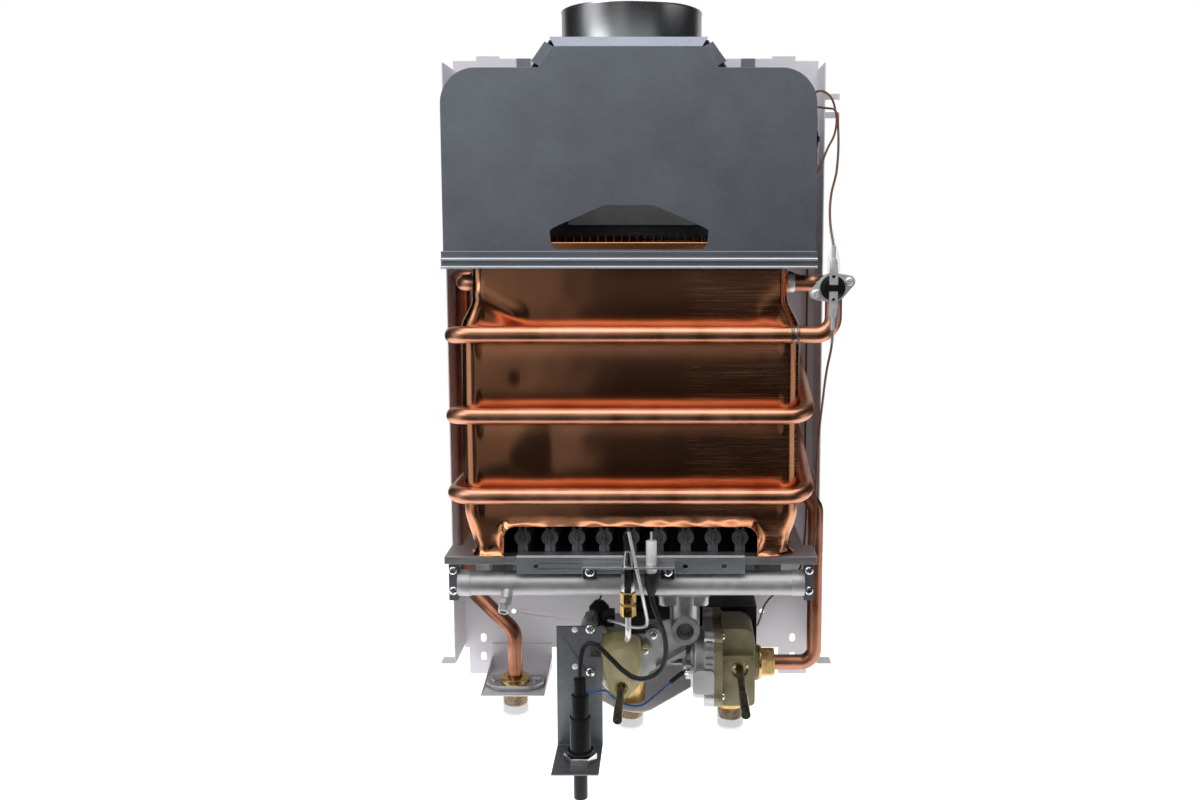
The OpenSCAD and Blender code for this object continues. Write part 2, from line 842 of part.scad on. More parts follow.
module end_brackets() {
    half = manifold_l / 2;
    color("DimGray")
    for (s = [-1, 1])
        difference() {
            block(s > 0 ? half : -half - 7, s > 0 ? half + 7 : -half,
                manifold_depth - 4, manifold_depth + 5, -36, -6);
            for (z = [-12, -28])
                rod_y(s * (half + 3.5), z, manifold_depth, manifold_depth + 6, 1.6);
        }
}

module test_nipple() {
    r = manifold_d / 2;
    color("Silver")
    difference() {
        union() {
            rod_y(-96, manifold_z, manifold_depth + r - 0.6, manifold_depth + r + 12, 4);
            rod_y(-96, manifold_z, manifold_depth + r + 12, manifold_depth + r + 15, 5);
        }
        rod_x(manifold_depth, manifold_z, -120, -80, r);
    }
}

// Pilot and ignition
module pilot_bracket() {
    z = -5;
    color("Silver")
    difference() {
        union() {
            block(-37, 34, bracket_face, bracket_face + 15, z, z + 1.2);
            for (x = [-37, 23])
                block(x, x + 11, bracket_face, bracket_face + 1.2, z - 12, z);
        }
        rod_z(pilot_x, pilot_depth, z - 1, z + 3, 3.1);
        rod_z(16, pilot_depth, z - 1, z + 3, 3.1);
        rod_z(4.5, 162.5, z - 1, z + 3, 2.2);
        for (x = [-31.5, 28.5])
            rod_y(x, z - 6, bracket_face - 1, bracket_face + 3, 1.7);
    }
}

module pilot_burner() {
    color("Gainsboro") {
        hex_z(pilot_x, pilot_depth, -25, -5, 9);
        rod_z(pilot_x, pilot_depth, -5, -3.8, 3);
        translate([pilot_x, -pilot_depth, -3.8])
            cylinder(h = 11, r1 = 5, r2 = 3.2);
        block(pilot_x - 3, pilot_x + 3, pilot_depth - 2, pilot_depth + 2, 7.2, 20);
    }
}

module pilot_nuts() {
    color("Goldenrod") {
        hex_z(pilot_x, pilot_depth, -34, -25, 11);
        rod_z(pilot_x, pilot_depth, -35, -34, 4.5);
        hex_z(pilot_x, pilot_depth, -44, -35, 11);
    }
}

module pilot_tube() {
    color("LightGray")
        pipe([[pilot_x, pilot_depth, -44], [pilot_x, pilot_depth, -60], [pilot_x - 3, 112, -80.6]], 9, 2.25, 0.6);
}

module thermocouple() {
    color("LightGray")
        lead(thermocouple_route, 1.3);
}

module electrode_ceramic() {
    color("Ivory")
    difference() {
        union() {
            rod_z(16, pilot_depth, -10, -5, 4.2);
            rod_z(16, pilot_depth, -5, -3.8, 3);
            rod_z(16, pilot_depth, -3.8, 15, 4.2);
        }
        rod_z(16, pilot_depth, -11, 16, 1);
    }
}

module electrode_pin() {
    color("Silver")
        rod_z(16, pilot_depth, -10, 22, 1 - run_gap);
}

module electrode_boot() {
    color("Black")
    difference() {
        union() {
            rod_z(16, pilot_depth, -20, -10, 5.2);
            translate([16, -pilot_depth, -28])
                cylinder(h = 8, r1 = 2.6, r2 = 5.2);
        }
    }
}

module igniter_bracket() {
    x0 = bracket_x - 18.5;
    x1 = bracket_x + 18.5;
    color("SlateGray")
    difference() {
        union() {
            block(x0, x1, igniter_face - sheet, igniter_face, igniter_z, -68);
            block(x0, x1, igniter_face - sheet, igniter_depth + 24, igniter_z - sheet, igniter_z);
        }
        rod_z(igniter_x, igniter_depth, igniter_z - 3, igniter_z + 3, 8 + slide_gap);
        block(x1 - 10, x1 + 1, igniter_face - 5, igniter_face + 5, -94, -82);
        for (z = bracket_screws_z)
            rod_y(bracket_screw_x, z, igniter_face - 5, igniter_face + 5, 2.1);
    }
}

module igniter_body() {
    z = igniter_z;
    color("Black")
    difference() {
        union() {
            rod_z(igniter_x, igniter_depth, z - 2 - sheet, z - sheet, 11);
            rod_z(igniter_x, igniter_depth, z - sheet, z + 6.3, 8);
            rod_z(igniter_x, igniter_depth, z + 6.3, z + 9, 10.5);
            rod_z(igniter_x, igniter_depth, z + 9, z + 36, 8.2);
            rod_z(igniter_x, igniter_depth, z + 36, z + 54, 6.8);
            rod_z(igniter_x, igniter_depth, z + 54, z + 67, 4.8);
        }
        rod_z(igniter_x, igniter_depth, z - 5, z + 30, button_r + slide_gap);
    }
}

module igniter_nut() {
    color("Silver")
    difference() {
        hex_z(igniter_x, igniter_depth, igniter_z, igniter_z + 6, 23);
        rod_z(igniter_x, igniter_depth, igniter_z - 1, igniter_z + 7, 8 + slide_gap);
    }
}

module igniter_button() {
    color("Black") {
        rod_z(igniter_x, igniter_depth, igniter_z - 31, igniter_z + 29 - button_travel, button_r);
    }
}

// Gas side
module gas_valve() {
    color("Silver")
    difference() {
        union() {
            front_cut(62, gas_face)
                soft_square(-46, 12, -124, -76, 8);
            front_cut(66, gas_face - 2)
                polygon([[4, -77], [30, -70], [cover_x, -80], [cover_x, -99], [23, -109.4], [11, -117], [4, -117]]);
            front_cut(gas_face - 10, gas_face + 3)
                polygon([[cover_x, -94.5], [cover_x, -99], [23, -109.4], [18, -109.4]]);
            rod_y(16, -81, 70, gas_face + 5, 5.5);
            for (z = bracket_screws_z)
                rod_y(bracket_screw_x, z, gas_face - 6, igniter_face - sheet, 5.5);
            block(bracket_screw_x - 5.5, bracket_screw_x + 2, gas_face - 6, gas_face + 6, -90, -65);
            front_cut(84, 112)
                soft_square(port_x - 12, port_x + 12, -80.5, -50, 6);
            rod_y(port_x, port_z, 100, port_depth, 11);
            rod_z(port_x, neck_depth, port_z, -35, 10.5);
            translate([0, 0, -46])
                linear_extrude(11)
                    soft_square(port_x - 21, port_x + 19, -neck_depth - 8, -neck_depth + 12, 5);
        }
        rod_y(port_x, port_z, port_depth - 18, port_depth + 4, 7);
        rod_z(port_x, neck_depth + 5, port_z, -34, 4);
        rod_x(valve_depth, valve_z, rod_end, 50, rod_r + run_gap);
        rod_y(gas_x, gas_z, 76, 100, 5 + slide_gap);
        rod_z(gas_in_x, gas_in_depth, -125, -100, thread_bore / 2);
        for (z = bracket_screws_z)
            rod_y(bracket_screw_x, z, igniter_face - 10, igniter_face + 5, 1.6);
    }
}

module gas_valve_cap() {
    color("DarkKhaki")
    difference() {
        union() {
            hull() {
                front_cut(gas_face, gas_face + 8)
                    soft_square(-27, 6, -128, -78, 11);
                rod_y(gas_x, gas_z + 12, gas_face, 118, 15);
                rod_y(gas_x, gas_z, gas_face, 132, 9);
            }
            for (p = lug_places)
                rod_y(p[0], p[1], gas_face, gas_face + 6, 4.6);
        }
        rod_y(gas_x, gas_z, gas_face - 1, 140, 5 + slide_gap);
        block(-60, 60, 90, 140, -140, gas_z - 18);
    }
}

module gas_spindle() {
    color("Goldenrod")
    difference() {
        rod_y(gas_x, gas_z, 78 + gas_push, 131, 5);
        rod_y(gas_x, gas_z, 100, 140, stem_r + run_gap);
    }
}

module d_shaft(x, z, d0, d1) {
    rod_y(x, z, d0, d1 - knob_seat, stem_r);
    difference() {
        rod_y(x, z, d1 - knob_seat, d1, shaft_r);
        block(x - shaft_r - 1, x + shaft_r + 1, d1 - knob_seat - 1, d1 + 1, z + shaft_r * 0.74, z + shaft_r + 1);
    }
}

module gas_shaft() {
    color("DarkGray")
        d_shaft(gas_x, gas_z, 100 + slide_gap, shaft_tip);
}

module magnet_cap() {
    color("Black") {
        rod_z(-30, 74, -76, -66, 8.5);
        translate([-30, -74, -66])
            cylinder(h = 5, r1 = 8.5, r2 = 4);
        block(-27, -16.5, 78, gas_face, -76, -66);
    }
}

// The gas side's switch, and the switch box on the wall plate behind the water side
module micro_switch() {
    color("Black") {
        block(-5, 10, gas_face, gas_face + 11, -78, -52);
        block(-2, 8, gas_face + 11, gas_face + 14, -64, -58);
        block(-5, port_x - 12.4, gas_face - 13, gas_face, -69.6, -50);
        block(54, 105, sheet, valve_depth - 34, -120, -76);
    }
}

module push_rod() {
    color("DimGray")
        rod_x(valve_depth, valve_z, rod_end + rod_stroke + 1, 53, rod_r);
}

// Water side
module valve_flange(x0, x1) {
    side_cut(x0, x1)
        soft_square(valve_depth - flange_half, valve_depth + flange_half,
            valve_z - flange_half, valve_z + flange_half, 11);
    for (z = bolt_z)
        for (d = bolt_depths)
            rod_x(d, z, x0, x1, 6);
}

module diaphragm_cover() {
    disc_x = cover_x + 6;
    disc_r = flange_half - 1;
    color("Silver")
    difference() {
        union() {
            rod_x(valve_depth, valve_z, cover_x, disc_x - 2, 14);
            rod_x(valve_depth, valve_z, disc_x - 2, disc_x, 20);
            translate([disc_x, -valve_depth, valve_z])
                rotate([0, 90, 0])
                    rotate_extrude() {
                        square([disc_r - 3, 9]);
                        translate([0, 3])
                            square([disc_r, 6]);
                        translate([disc_r - 3, 3])
                            circle(3);
                    }
            valve_flange(seal_x - 8, seal_x);
            for (z = [27, 20.5, 13.5, 8])
                block(seal_x - 7, seal_x - 1, valve_depth + flange_half - 3, valve_depth + flange_half + 1.6,
                    valve_z + z - 1.4, valve_z + z + 1.4);
            front_cut(valve_depth + 10, valve_depth + flange_half + 2)
                soft_square(disc_x, seal_x, valve_z - 15, valve_z + 5, 4);
            rod_y(earth_x, earth_z, valve_depth + 6, earth_depth, 4.8);
        }
        rod_x(valve_depth, valve_z, cover_x - 1, 57, rod_r + run_gap);
        rod_x(valve_depth, valve_z, 60, seal_x + 1, 24);
    }
}

module water_valve() {
    nut_depth = coil_route[0][1] + 24;
    color("DarkKhaki")
    difference() {
        union() {
            valve_flange(seal_x, seal_x + 7);
            front_cut(water_back, water_face) {
                soft_square(seal_x + 6, water_x + 13, -142, -86, 4);
                translate([seal_x + 7, -92])
                    square([water_x - seal_x - 5, 16]);
                translate([water_x + 2, -87])
                    circle(11);
            }
            front_cut(water_face - 3, water_face + 5)
                soft_square(seal_x + 7, water_x + 12, water_z - 9, water_z + 12, 2);
            rod_x(nut_depth, -116, water_x + 12, 104, 15);
        }
        rod_y(water_x, water_z, water_face - 14, water_face + 6, 7);
        rod_z(cold_x, cold_depth, -143, -128, thread_bore / 2);
        rod_x(nut_depth, -116, 92, 105, tube_r - tube_wall);
        rod_x(valve_depth, valve_z, seal_x - 1, seal_x + 4, 24);
    }
}

module water_bush() {
    color("Goldenrod")
    difference() {
        rod_y(water_x, water_z, water_face - 14, water_face + 2, 7);
        rod_y(water_x, water_z, water_face - 15, water_face + 5, stem_r + run_gap);
    }
}

module water_shaft() {
    color("DarkGray")
        d_shaft(water_x, water_z, water_face - 13.6, shaft_tip);
}

module inlet_nut() {
    d = coil_route[0][1] + 24;
    color("Goldenrod")
    difference() {
        union() {
            rod_x(d, -116, 104, 107, 14);
            translate([107, -d, -116])
                rotate([0, 90, 0])
                    cylinder(h = 11, d = 22 / cos(30), $fn = 6);
        }
        rod_x(d, -116, 103, 119, tube_r - tube_wall);
    }
}

module cold_inlet() {
    color("Goldenrod")
    difference() {
        union() {
            rod_z(cold_x, cold_depth, -153, -142, 12);
            rod_z(cold_x, cold_depth, -167, -153, thread_r);
        }
        rod_z(cold_x, cold_depth, -168, -141, thread_bore / 2);
    }
}

module hot_outlet() {
    color("Goldenrod")
    difference() {
        union() {
            rod_z(hot_out_x, hot_out_depth, shelf_z + 3, shelf_z + 10, 13);
            block(hot_out_x - 25, hot_out_x + 25, hot_out_depth - 13, hot_out_depth + 13, shelf_z, shelf_z + 3);
            rod_z(hot_out_x, hot_out_depth, shelf_z - 20, shelf_z, thread_r);
        }
        rod_z(hot_out_x, hot_out_depth, shelf_z - 21, shelf_z + 11, tube_r - tube_wall);
    }
}

module gas_inlet() {
    color("Goldenrod")
    difference() {
        union() {
            rod_z(gas_in_x, gas_in_depth, shelf_z, -124, 12.5);
            rod_z(gas_in_x, gas_in_depth, shelf_z - 20, shelf_z, thread_r);
        }
        rod_z(gas_in_x, gas_in_depth, shelf_z - 21, -123, thread_bore / 2);
    }
}

module cap(x, d, top) {
    difference() {
        rod_z(x, d, top - 17, top, cap_r);
        rod_z(x, d, top - 15.4, top + 1, thread_r + slide_gap);
    }
}

module hot_cap() {
    color("White", 0.6)
        cap(hot_out_x, hot_out_depth, shelf_z - 6);
}

module cold_cap() {
    color("White", 0.6)
        cap(cold_x, cold_depth, -153.5);
}

module gas_cap() {
    color("White", 0.6)
        cap(gas_in_x, gas_in_depth, shelf_z - 6);
}

// Wiring and fasteners
module ignition_lead() {
    color("Black")
        lead(ignition_route, 2, 10);
}

module thermostat_wires() {
    color("SaddleBrown") {
        lead(limit_up_route, 0.9);
        lead(spill_route, 0.9);
        lead(limit_down_route, 0.9);
    }
}

module earth_wire() {
    color("RoyalBlue")
        lead(earth_route, 0.9);
}

module pan_screws() {
    half = manifold_l / 2;
    color("Gainsboro") {
        for (s = [-1, 1])
            for (z = [-12, -28])
                pan_screw(s * (half + 3.5), z, manifold_depth + 5, 3.2);
        for (x = [-31.5, 28.5])
            pan_screw(x, -11, bracket_face + 1.2);
        for (z = bracket_screws_z)
            pan_screw(bracket_screw_x, z, igniter_face);
        for (p = lug_places)
            pan_screw(p[0], p[1], gas_face + 6, 3);
        pan_screw(16, -81, gas_face + 5, 3.4);
        pan_screw(earth_x, earth_z, earth_depth, 3.6);
        for (x = [port_x - 16, port_x + 14.5])
            rod_z(x, neck_depth + 2, -48.4, -46, 3.2);
        for (z = bolt_z)
            for (d = bolt_depths)
                rod_x(d, z, seal_x + 7, seal_x + 10, 3.4);
        for (s = [-1, 1])
            rod_z(hot_out_x + s * 18, hot_out_depth, shelf_z + 3, shelf_z + 5.4, 3.6);
    }
}

place() wall_plate();
place() hot_bracket();
place() gas_bracket();
place() hood_hangers();
place() hood_shell();
place() hood_front();
place() draught_baffle();
place() flue_collar();
place() copper_jacket();
place() fins();
place() finned_tubes();
place() return_bends();
place() coil_tube();
place() feed_tube();
place() riser_tube();
place() hot_tube();
place() thermostat_plates();
place() thermostat_bodies();
place() terminal_sleeves();
place() burner_tray();
place() burner_blades();
place() front_bracket();
place() gas_manifold();
place() jets();
place() end_brackets();
place() test_nipple();
place() pilot_bracket();
place() pilot_burner();
place() pilot_nuts();
place() pilot_tube();
place() thermocouple();
place() electrode_ceramic();
place() electrode_pin();
place() electrode_boot();
place() igniter_bracket();
place() igniter_body();
place() igniter_nut();
place() igniter_button();
place() gas_valve();
place() gas_valve_cap();
place() gas_spindle();
place() gas_shaft();
place() magnet_cap();
place() micro_switch();
place() push_rod();
place() diaphragm_cover();
place() water_valve();
place() water_bush();
place() water_shaft();
place() inlet_nut();
place() cold_inlet();
place() hot_outlet();
place() gas_inlet();
place() hot_cap();
place() cold_cap();
place() gas_cap();
place() ignition_lead();
place() thermostat_wires();
place() earth_wire();
place() pan_screws();
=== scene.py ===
"""Looks of a wall-hung gas water heater without its cover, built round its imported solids.

Metres, in the same frame as the solids. Lengths in the tables below are millimetres, given as
right of the middle, depth from the wall and height above the burner tray.
"""

import math

import bpy
from mathutils import Matrix, Vector, noise


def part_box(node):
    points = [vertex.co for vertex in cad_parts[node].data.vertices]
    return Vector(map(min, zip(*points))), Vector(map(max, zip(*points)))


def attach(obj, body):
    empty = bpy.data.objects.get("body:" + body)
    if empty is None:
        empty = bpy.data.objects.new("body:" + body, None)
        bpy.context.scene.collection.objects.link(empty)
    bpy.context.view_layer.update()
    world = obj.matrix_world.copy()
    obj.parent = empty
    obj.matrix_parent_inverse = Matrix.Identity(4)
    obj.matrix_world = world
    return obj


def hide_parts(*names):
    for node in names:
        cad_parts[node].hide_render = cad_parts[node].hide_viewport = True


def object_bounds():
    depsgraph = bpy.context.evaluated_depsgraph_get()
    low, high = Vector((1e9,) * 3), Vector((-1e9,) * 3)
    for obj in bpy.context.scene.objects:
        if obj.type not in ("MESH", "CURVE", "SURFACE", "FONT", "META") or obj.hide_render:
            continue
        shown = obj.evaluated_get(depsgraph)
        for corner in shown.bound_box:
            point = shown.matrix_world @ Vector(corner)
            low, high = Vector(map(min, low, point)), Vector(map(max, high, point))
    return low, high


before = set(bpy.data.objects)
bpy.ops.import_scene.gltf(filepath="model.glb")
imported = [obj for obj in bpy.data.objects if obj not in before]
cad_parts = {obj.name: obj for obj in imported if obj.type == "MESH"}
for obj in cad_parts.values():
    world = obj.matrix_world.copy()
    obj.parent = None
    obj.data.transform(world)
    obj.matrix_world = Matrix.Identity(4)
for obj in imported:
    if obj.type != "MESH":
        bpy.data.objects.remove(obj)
cad_low, cad_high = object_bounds()
scene = bpy.context.scene

MM = 0.001
ROOT = "heater"
TRAY_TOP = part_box("burner_tray")[1].z


def at(x, d, z):
    """A point of the frame from right, depth and height in millimetres."""
    return Vector((x * MM, -d * MM, TRAY_TOP + z * MM))


def span(node):
    """A node's box in millimetres as (x0, x1), (d0, d1), (z0, z1)."""
    low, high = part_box(node)
    return (
        (low.x / MM, high.x / MM),
        (-high.y / MM, -low.y / MM),
        ((low.z - TRAY_TOP) / MM, (high.z - TRAY_TOP) / MM),
    )


# Camera, floor and light
PHOTO_W, PHOTO_H = 1200, 800
FOCAL_PX = 1130
PRINCIPAL_PX = (676, 345)
CAMERA_PLACE = (0.0348, -0.9982, -0.1213)
CAMERA_DOWN = 6.22
SENSOR = 36


def make_camera():
    data = bpy.data.cameras.new("photo_camera")
    data.sensor_width = SENSOR
    data.lens = FOCAL_PX / PHOTO_W * SENSOR
    data.shift_x = (PHOTO_W / 2 - PRINCIPAL_PX[0]) / PHOTO_W
    data.shift_y = (PRINCIPAL_PX[1] - PHOTO_H / 2) / PHOTO_W
    camera = bpy.data.objects.new("photo_camera", data)
    scene.collection.objects.link(camera)
    camera.location = CAMERA_PLACE
    camera.rotation_euler = (math.radians(90 - CAMERA_DOWN), 0, 0)
    scene.camera = camera


# Soft boxes: place, target, width and height in metres, brightness, and whether gloss shows them
SOFT_BOXES = {
    "top_box": ((0.0, -0.75, 1.05), (0.0, -0.75, 0.0), (1.9, 1.5), 2.5, True),
    "left_box": ((-1.2, -1.05, 0.6), (0.0, -0.1, 0.3), (0.9, 0.9), 2.8, True),
    "left_low": ((-1.4, -0.75, -0.35), (0.0, -0.1, -0.2), (0.9, 0.9), 0.65, True),
    "right_box": ((1.4, -0.45, -0.55), (0.0, -0.1, -0.3), (1.0, 0.7), 0.6, True),
    "back_box": ((0.0, 1.5, 0.35), (0.0, 0.0, 0.0), (3.0, 1.8), 0.5, True),
    "front_panel": ((0.25, -1.7, 0.45), (0.25, 0.0, 0.45), (2.2, 0.9), 0.25, True),
    "front_card": ((-0.47, -1.7, -0.3), (0.0, -0.1, -0.3), (0.56, 1.2), 0.14, True),
    "front_fill": ((0.3, -1.6, 0.0), (0.0, 0.0, -0.2), (1.2, 1.2), 0.85, False),
    "flue_glow": ((0.06, -0.1, -0.02), (0.03, -0.041, -0.11), (0.05, 0.05), 4.5, False),
}
ROOM_GREY = 0.006
FLOOR_GLOW = 0.92
FLOOR_DROP = 0.02
FLOOR_HALF, FLOOR_FRONT, FLOOR_BACK = 0.8, -0.32, 0.6
QUARTER_TURN = 0.25


def area_light(name, place, target, size, brightness, in_gloss):
    data = bpy.data.lights.new(name, "AREA")
    data.shape = "RECTANGLE"
    data.size, data.size_y = size
    data.energy = brightness * math.pi * size[0] * size[1]
    lamp = bpy.data.objects.new(name, data)
    scene.collection.objects.link(lamp)
    lamp.location = place
    lamp.rotation_euler = (Vector(target) - Vector(place)).to_track_quat("-Z", "Y").to_euler()
    lamp.visible_camera = False
    lamp.visible_glossy = in_gloss


def make_studio():
    for name, values in SOFT_BOXES.items():
        area_light(name, *values)
    world = bpy.data.worlds.new("studio")
    scene.world = world
    world.use_nodes = True
    tree = world.node_tree
    background = tree.nodes["Background"]
    background.inputs["Color"].default_value = (ROOM_GREY, ROOM_GREY, ROOM_GREY, 1)
    seen = tree.nodes.new("ShaderNodeBackground")
    seen.inputs["Color"].default_value = (1, 1, 1, 1)
    ray = tree.nodes.new("ShaderNodeLightPath")
    mix = tree.nodes.new("ShaderNodeMixShader")
    tree.links.new(ray.outputs["Is Camera Ray"], mix.inputs[0])
    tree.links.new(background.outputs[0], mix.inputs[1])
    tree.links.new(seen.outputs[0], mix.inputs[2])
    tree.links.new(mix.outputs[0], tree.nodes["World Output"].inputs["Surface"])
    scene.view_settings.view_transform = "Standard"


LOOKS = {}


class Look:
    """A principled material, kept by name, with helpers that add its procedural detail."""

    def __init__(self, name, metallic=0.0, **sockets):
        self.material = bpy.data.materials.new(name)
        self.material.use_nodes = True
        LOOKS[name] = self
        self.tree = self.material.node_tree
        self.shader = self.tree.nodes["Principled BSDF"]
        self.set("Metallic", metallic)
        for socket, value in sockets.items():
            self.set(socket.replace("_", " "), value)

    def set(self, socket, value):
        self.shader.inputs[socket].default_value = value

    def link(self, source, target):
        self.tree.links.new(source, target)

    def node(self, kind, **values):
        """A new node with values on its inputs."""
        node = self.tree.nodes.new("ShaderNode" + kind)
        for socket, value in values.items():
            node.inputs[socket.replace("_", " ")].default_value = value
        return node

    def coordinates(self, stretch=(1, 1, 1)):
        mapping = self.node("Mapping", Scale=stretch)
        self.link(self.node("TexCoord").outputs["Object"], mapping.inputs["Vector"])
        return mapping.outputs["Vector"]

    def noise(self, scale, detail=3, stretch=(1, 1, 1)):
        texture = self.node("TexNoise", Scale=scale, Detail=detail)
        self.link(self.coordinates(stretch), texture.inputs["Vector"])
        return texture.outputs["Fac"]

    def ramp_x(self, start, end):
        """0 to 1 between two places along the part's width, in metres."""
        split = self.node("SeparateXYZ")
        self.link(self.coordinates(), split.inputs[0])
        spread = self.node("MapRange", From_Min=start, From_Max=end)
        self.link(split.outputs["X"], spread.inputs["Value"])
        return spread.outputs["Result"]

    def times(self, a, b):
        product = self.node("Math")
        product.operation = "MULTIPLY"
        self.link(a, product.inputs[0])
        self.link(b, product.inputs[1])
        return product.outputs[0]

    def tint(self, fac, *colours, start=0.3, end=0.7):
        """Base colour that passes through the colours as fac goes from start to end."""
        ramp = self.node("ValToRGB")
        elements = ramp.color_ramp.elements
        while len(elements) < len(colours):
            elements.new(0.5)
        self.set("Base Color", (*colours[1], 1))
        for k, (element, colour) in enumerate(zip(elements, colours)):
            element.position = start + (end - start) * k / (len(colours) - 1)
            element.color = (*colour, 1)
        self.link(fac, ramp.inputs["Fac"])
        self.link(ramp.outputs["Color"], self.shader.inputs["Base Color"])
        return self

    def gloss(self, fac, low, high, start=0.3, end=0.7):
        """Roughness between low and high as fac goes from start to end."""
        spread = self.node("MapRange", From_Min=start, From_Max=end, To_Min=low, To_Max=high)
        self.set("Roughness", (low + high) / 2)
        self.link(fac, spread.inputs["Value"])
        self.link(spread.outputs["Result"], self.shader.inputs["Roughness"])
        return self

    def mottle(self, scale, detail, low, high, smooth, rough):
        """Colour and roughness that change together with one noise."""
        fac = self.noise(scale, detail)
        return self.tint(fac, low, high).gloss(fac, smooth, rough)

    def relief(self, fac, strength, depth):
        """Bump of a depth in millimetres."""
        bump = self.node("Bump", Strength=strength, Distance=depth * MM)
        self.link(fac, bump.inputs["Height"])
        self.link(bump.outputs["Normal"], self.shader.inputs["Normal"])

    def brushed_level(self, amount):
        """Brush marks that run level round the part, so that reflections spread up and down."""
        round_part = self.node("Tangent")
        round_part.direction_type = "RADIAL"
        round_part.axis = "Z"
        self.link(round_part.outputs["Tangent"], self.shader.inputs["Tangent"])
        self.set("Anisotropic", amount)
        self.set("Anisotropic Rotation", QUARTER_TURN)


def make_looks():
    Look("dull_sheet", 0.15).mottle(60, 4, (0.26, 0.26, 0.27), (0.34, 0.34, 0.35), 0.5, 0.7)
    Look("dark_copper", 1.0).mottle(160, 4, (0.13, 0.052, 0.027), (0.36, 0.155, 0.08), 0.3, 0.55)
    Look("burner_steel", 0.55).mottle(45, 4, (0.19, 0.19, 0.196), (0.31, 0.31, 0.318), 0.34, 0.5)
    # Darker copy of the blades' steel for the burner's floor, back and the sheet under it: painted shade
    Look("burner_shade_steel", 0.6).mottle(60, 4, (0.12, 0.12, 0.123), (0.22, 0.22, 0.225), 0.45, 0.65)
    Look("zinc", 0.65).mottle(160, 4, (0.82, 0.825, 0.84), (0.9, 0.905, 0.92), 0.36, 0.48)
    Look("chrome", 1.0).mottle(220, 3, (0.64, 0.64, 0.65), (0.75, 0.75, 0.76), 0.12, 0.22)
    Look("solder", 1.0).mottle(300, 4, (0.13, 0.1, 0.085), (0.36, 0.33, 0.31), 0.3, 0.5)

    # The galvanised sheet, a darker copy for the igniter bracket and a lighter copy for the front
    # bracket: painted shade and painted light, for how the light falls on each bracket
    for name, low, high in (
        ("galvanised", (0.275, 0.3, 0.345), (0.305, 0.33, 0.375)),
        ("shaded_galvanised", (0.195, 0.21, 0.225), (0.235, 0.25, 0.265)),
        ("lit_galvanised", (0.44, 0.475, 0.51), (0.5, 0.535, 0.57)),
    ):
        sheet = Look(name, 0.85)
        sheet.tint(sheet.noise(300, 6), low, high).gloss(sheet.noise(30, 5), 0.37, 0.47)
        sheet.relief(sheet.noise(1100, 3), 0.025, 0.06)

    bright = Look("bright_steel", 1.0)
    drawn = bright.noise(900, 3)
    bright.tint(bright.noise(34, 3), (0.66, 0.67, 0.7), (0.72, 0.73, 0.76))
    bright.gloss(drawn, 0.27, 0.33).relief(drawn, 0.01, 0.05)

    paint = Look("white_paint", Roughness=0.38, Coat_Weight=0.2, Coat_Roughness=0.25)
    paint.tint(paint.noise(9, 3), (0.75, 0.73, 0.77), (0.81, 0.79, 0.83))
    paint.relief(paint.noise(900, 2), 0.08, 0.1)

    sheet = Look("copper_sheet", 1.0)
    brushed = sheet.noise(360, 6, (0.05, 0.05, 6))
    streaks = sheet.times(brushed, sheet.ramp_x(-0.03, 0.05))
    sheet.tint(sheet.noise(26, 4), (0.62, 0.264, 0.13), (0.735, 0.346, 0.195), end=0.72)
    sheet.gloss(streaks, 0.2, 0.36, 0.5, 0.75).relief(streaks, 0.05, 0.1)
    sheet.brushed_level(0.85)

    # Copper of the tubes, and a darker copy for the hot and feed tubes
    for name, low, middle, high in (
        ("copper_tube", (0.5, 0.205, 0.12), (0.69, 0.325, 0.205), (0.77, 0.4, 0.275)),
        ("darker_tube_copper", (0.24, 0.092, 0.054), (0.43, 0.185, 0.115), (0.54, 0.265, 0.18)),
    ):
        tube = Look(name, 1.0)
        worn = tube.noise(48, 6)
        tube.tint(worn, low, middle, high, start=0.25, end=0.75)
        tube.gloss(worn, 0.28, 0.42)

    for name, shade, smooth, rough in (("alloy", 0.54, 0.48, 0.58), ("valve_alloy", 0.5, 0.32, 0.46)):
        alloy = Look(name, 0.88)
        low = (shade * 0.88, shade * 0.88, shade * 0.9)
        high = (shade * 1.1, shade * 1.1, shade * 1.12)
        alloy.mottle(130, 5, low, high, smooth, rough)
        alloy.relief(alloy.noise(1500, 3), 0.16, 0.1)

    tray = Look("tray_steel", 0.9)
    wiped = tray.noise(500, 4, (0.08, 1, 1))
    tray.tint(tray.noise(40, 3), (0.48, 0.485, 0.5), (0.56, 0.565, 0.58))
    tray.gloss(wiped, 0.34, 0.48).relief(wiped, 0.03, 0.06)

    brass = Look("brass", 1.0)
    brass.mottle(240, 4, (0.5, 0.31, 0.1), (0.74, 0.52, 0.22), 0.18, 0.36)
    brass.relief(brass.noise(1400, 2, (1, 1, 0.2)), 0.06, 0.08)

    for name, low, high in (
        ("olive_plastic", (0.155, 0.136, 0.068), (0.25, 0.222, 0.12)),
        ("pale_olive", (0.39, 0.345, 0.175), (0.53, 0.475, 0.265)),
    ):
        olive = Look(name, Subsurface_Weight=0.3,
                     Subsurface_Radius=(0.005, 0.0045, 0.002), Subsurface_Scale=1.0)
        olive.mottle(75, 4, low, high, 0.26, 0.4)
        olive.relief(olive.noise(1100, 2), 0.06, 0.08)

    plastic = Look("black_plastic", Specular_IOR_Level=0.18)
    moulded = plastic.noise(700, 3)
    plastic.tint(plastic.noise(60, 3), (0.006, 0.006, 0.007), (0.013, 0.013, 0.014))
    plastic.gloss(moulded, 0.26, 0.44).relief(moulded, 0.08, 0.08)

    rubber = Look("black_rubber", Specular_IOR_Level=0.3)
    dusty = rubber.noise(320, 4)
    rubber.tint(dusty, (0.006, 0.006, 0.006), (0.016, 0.016, 0.016), start=0.35, end=0.75)
    rubber.gloss(dusty, 0.42, 0.62).relief(rubber.noise(1600, 2), 0.12, 0.08)

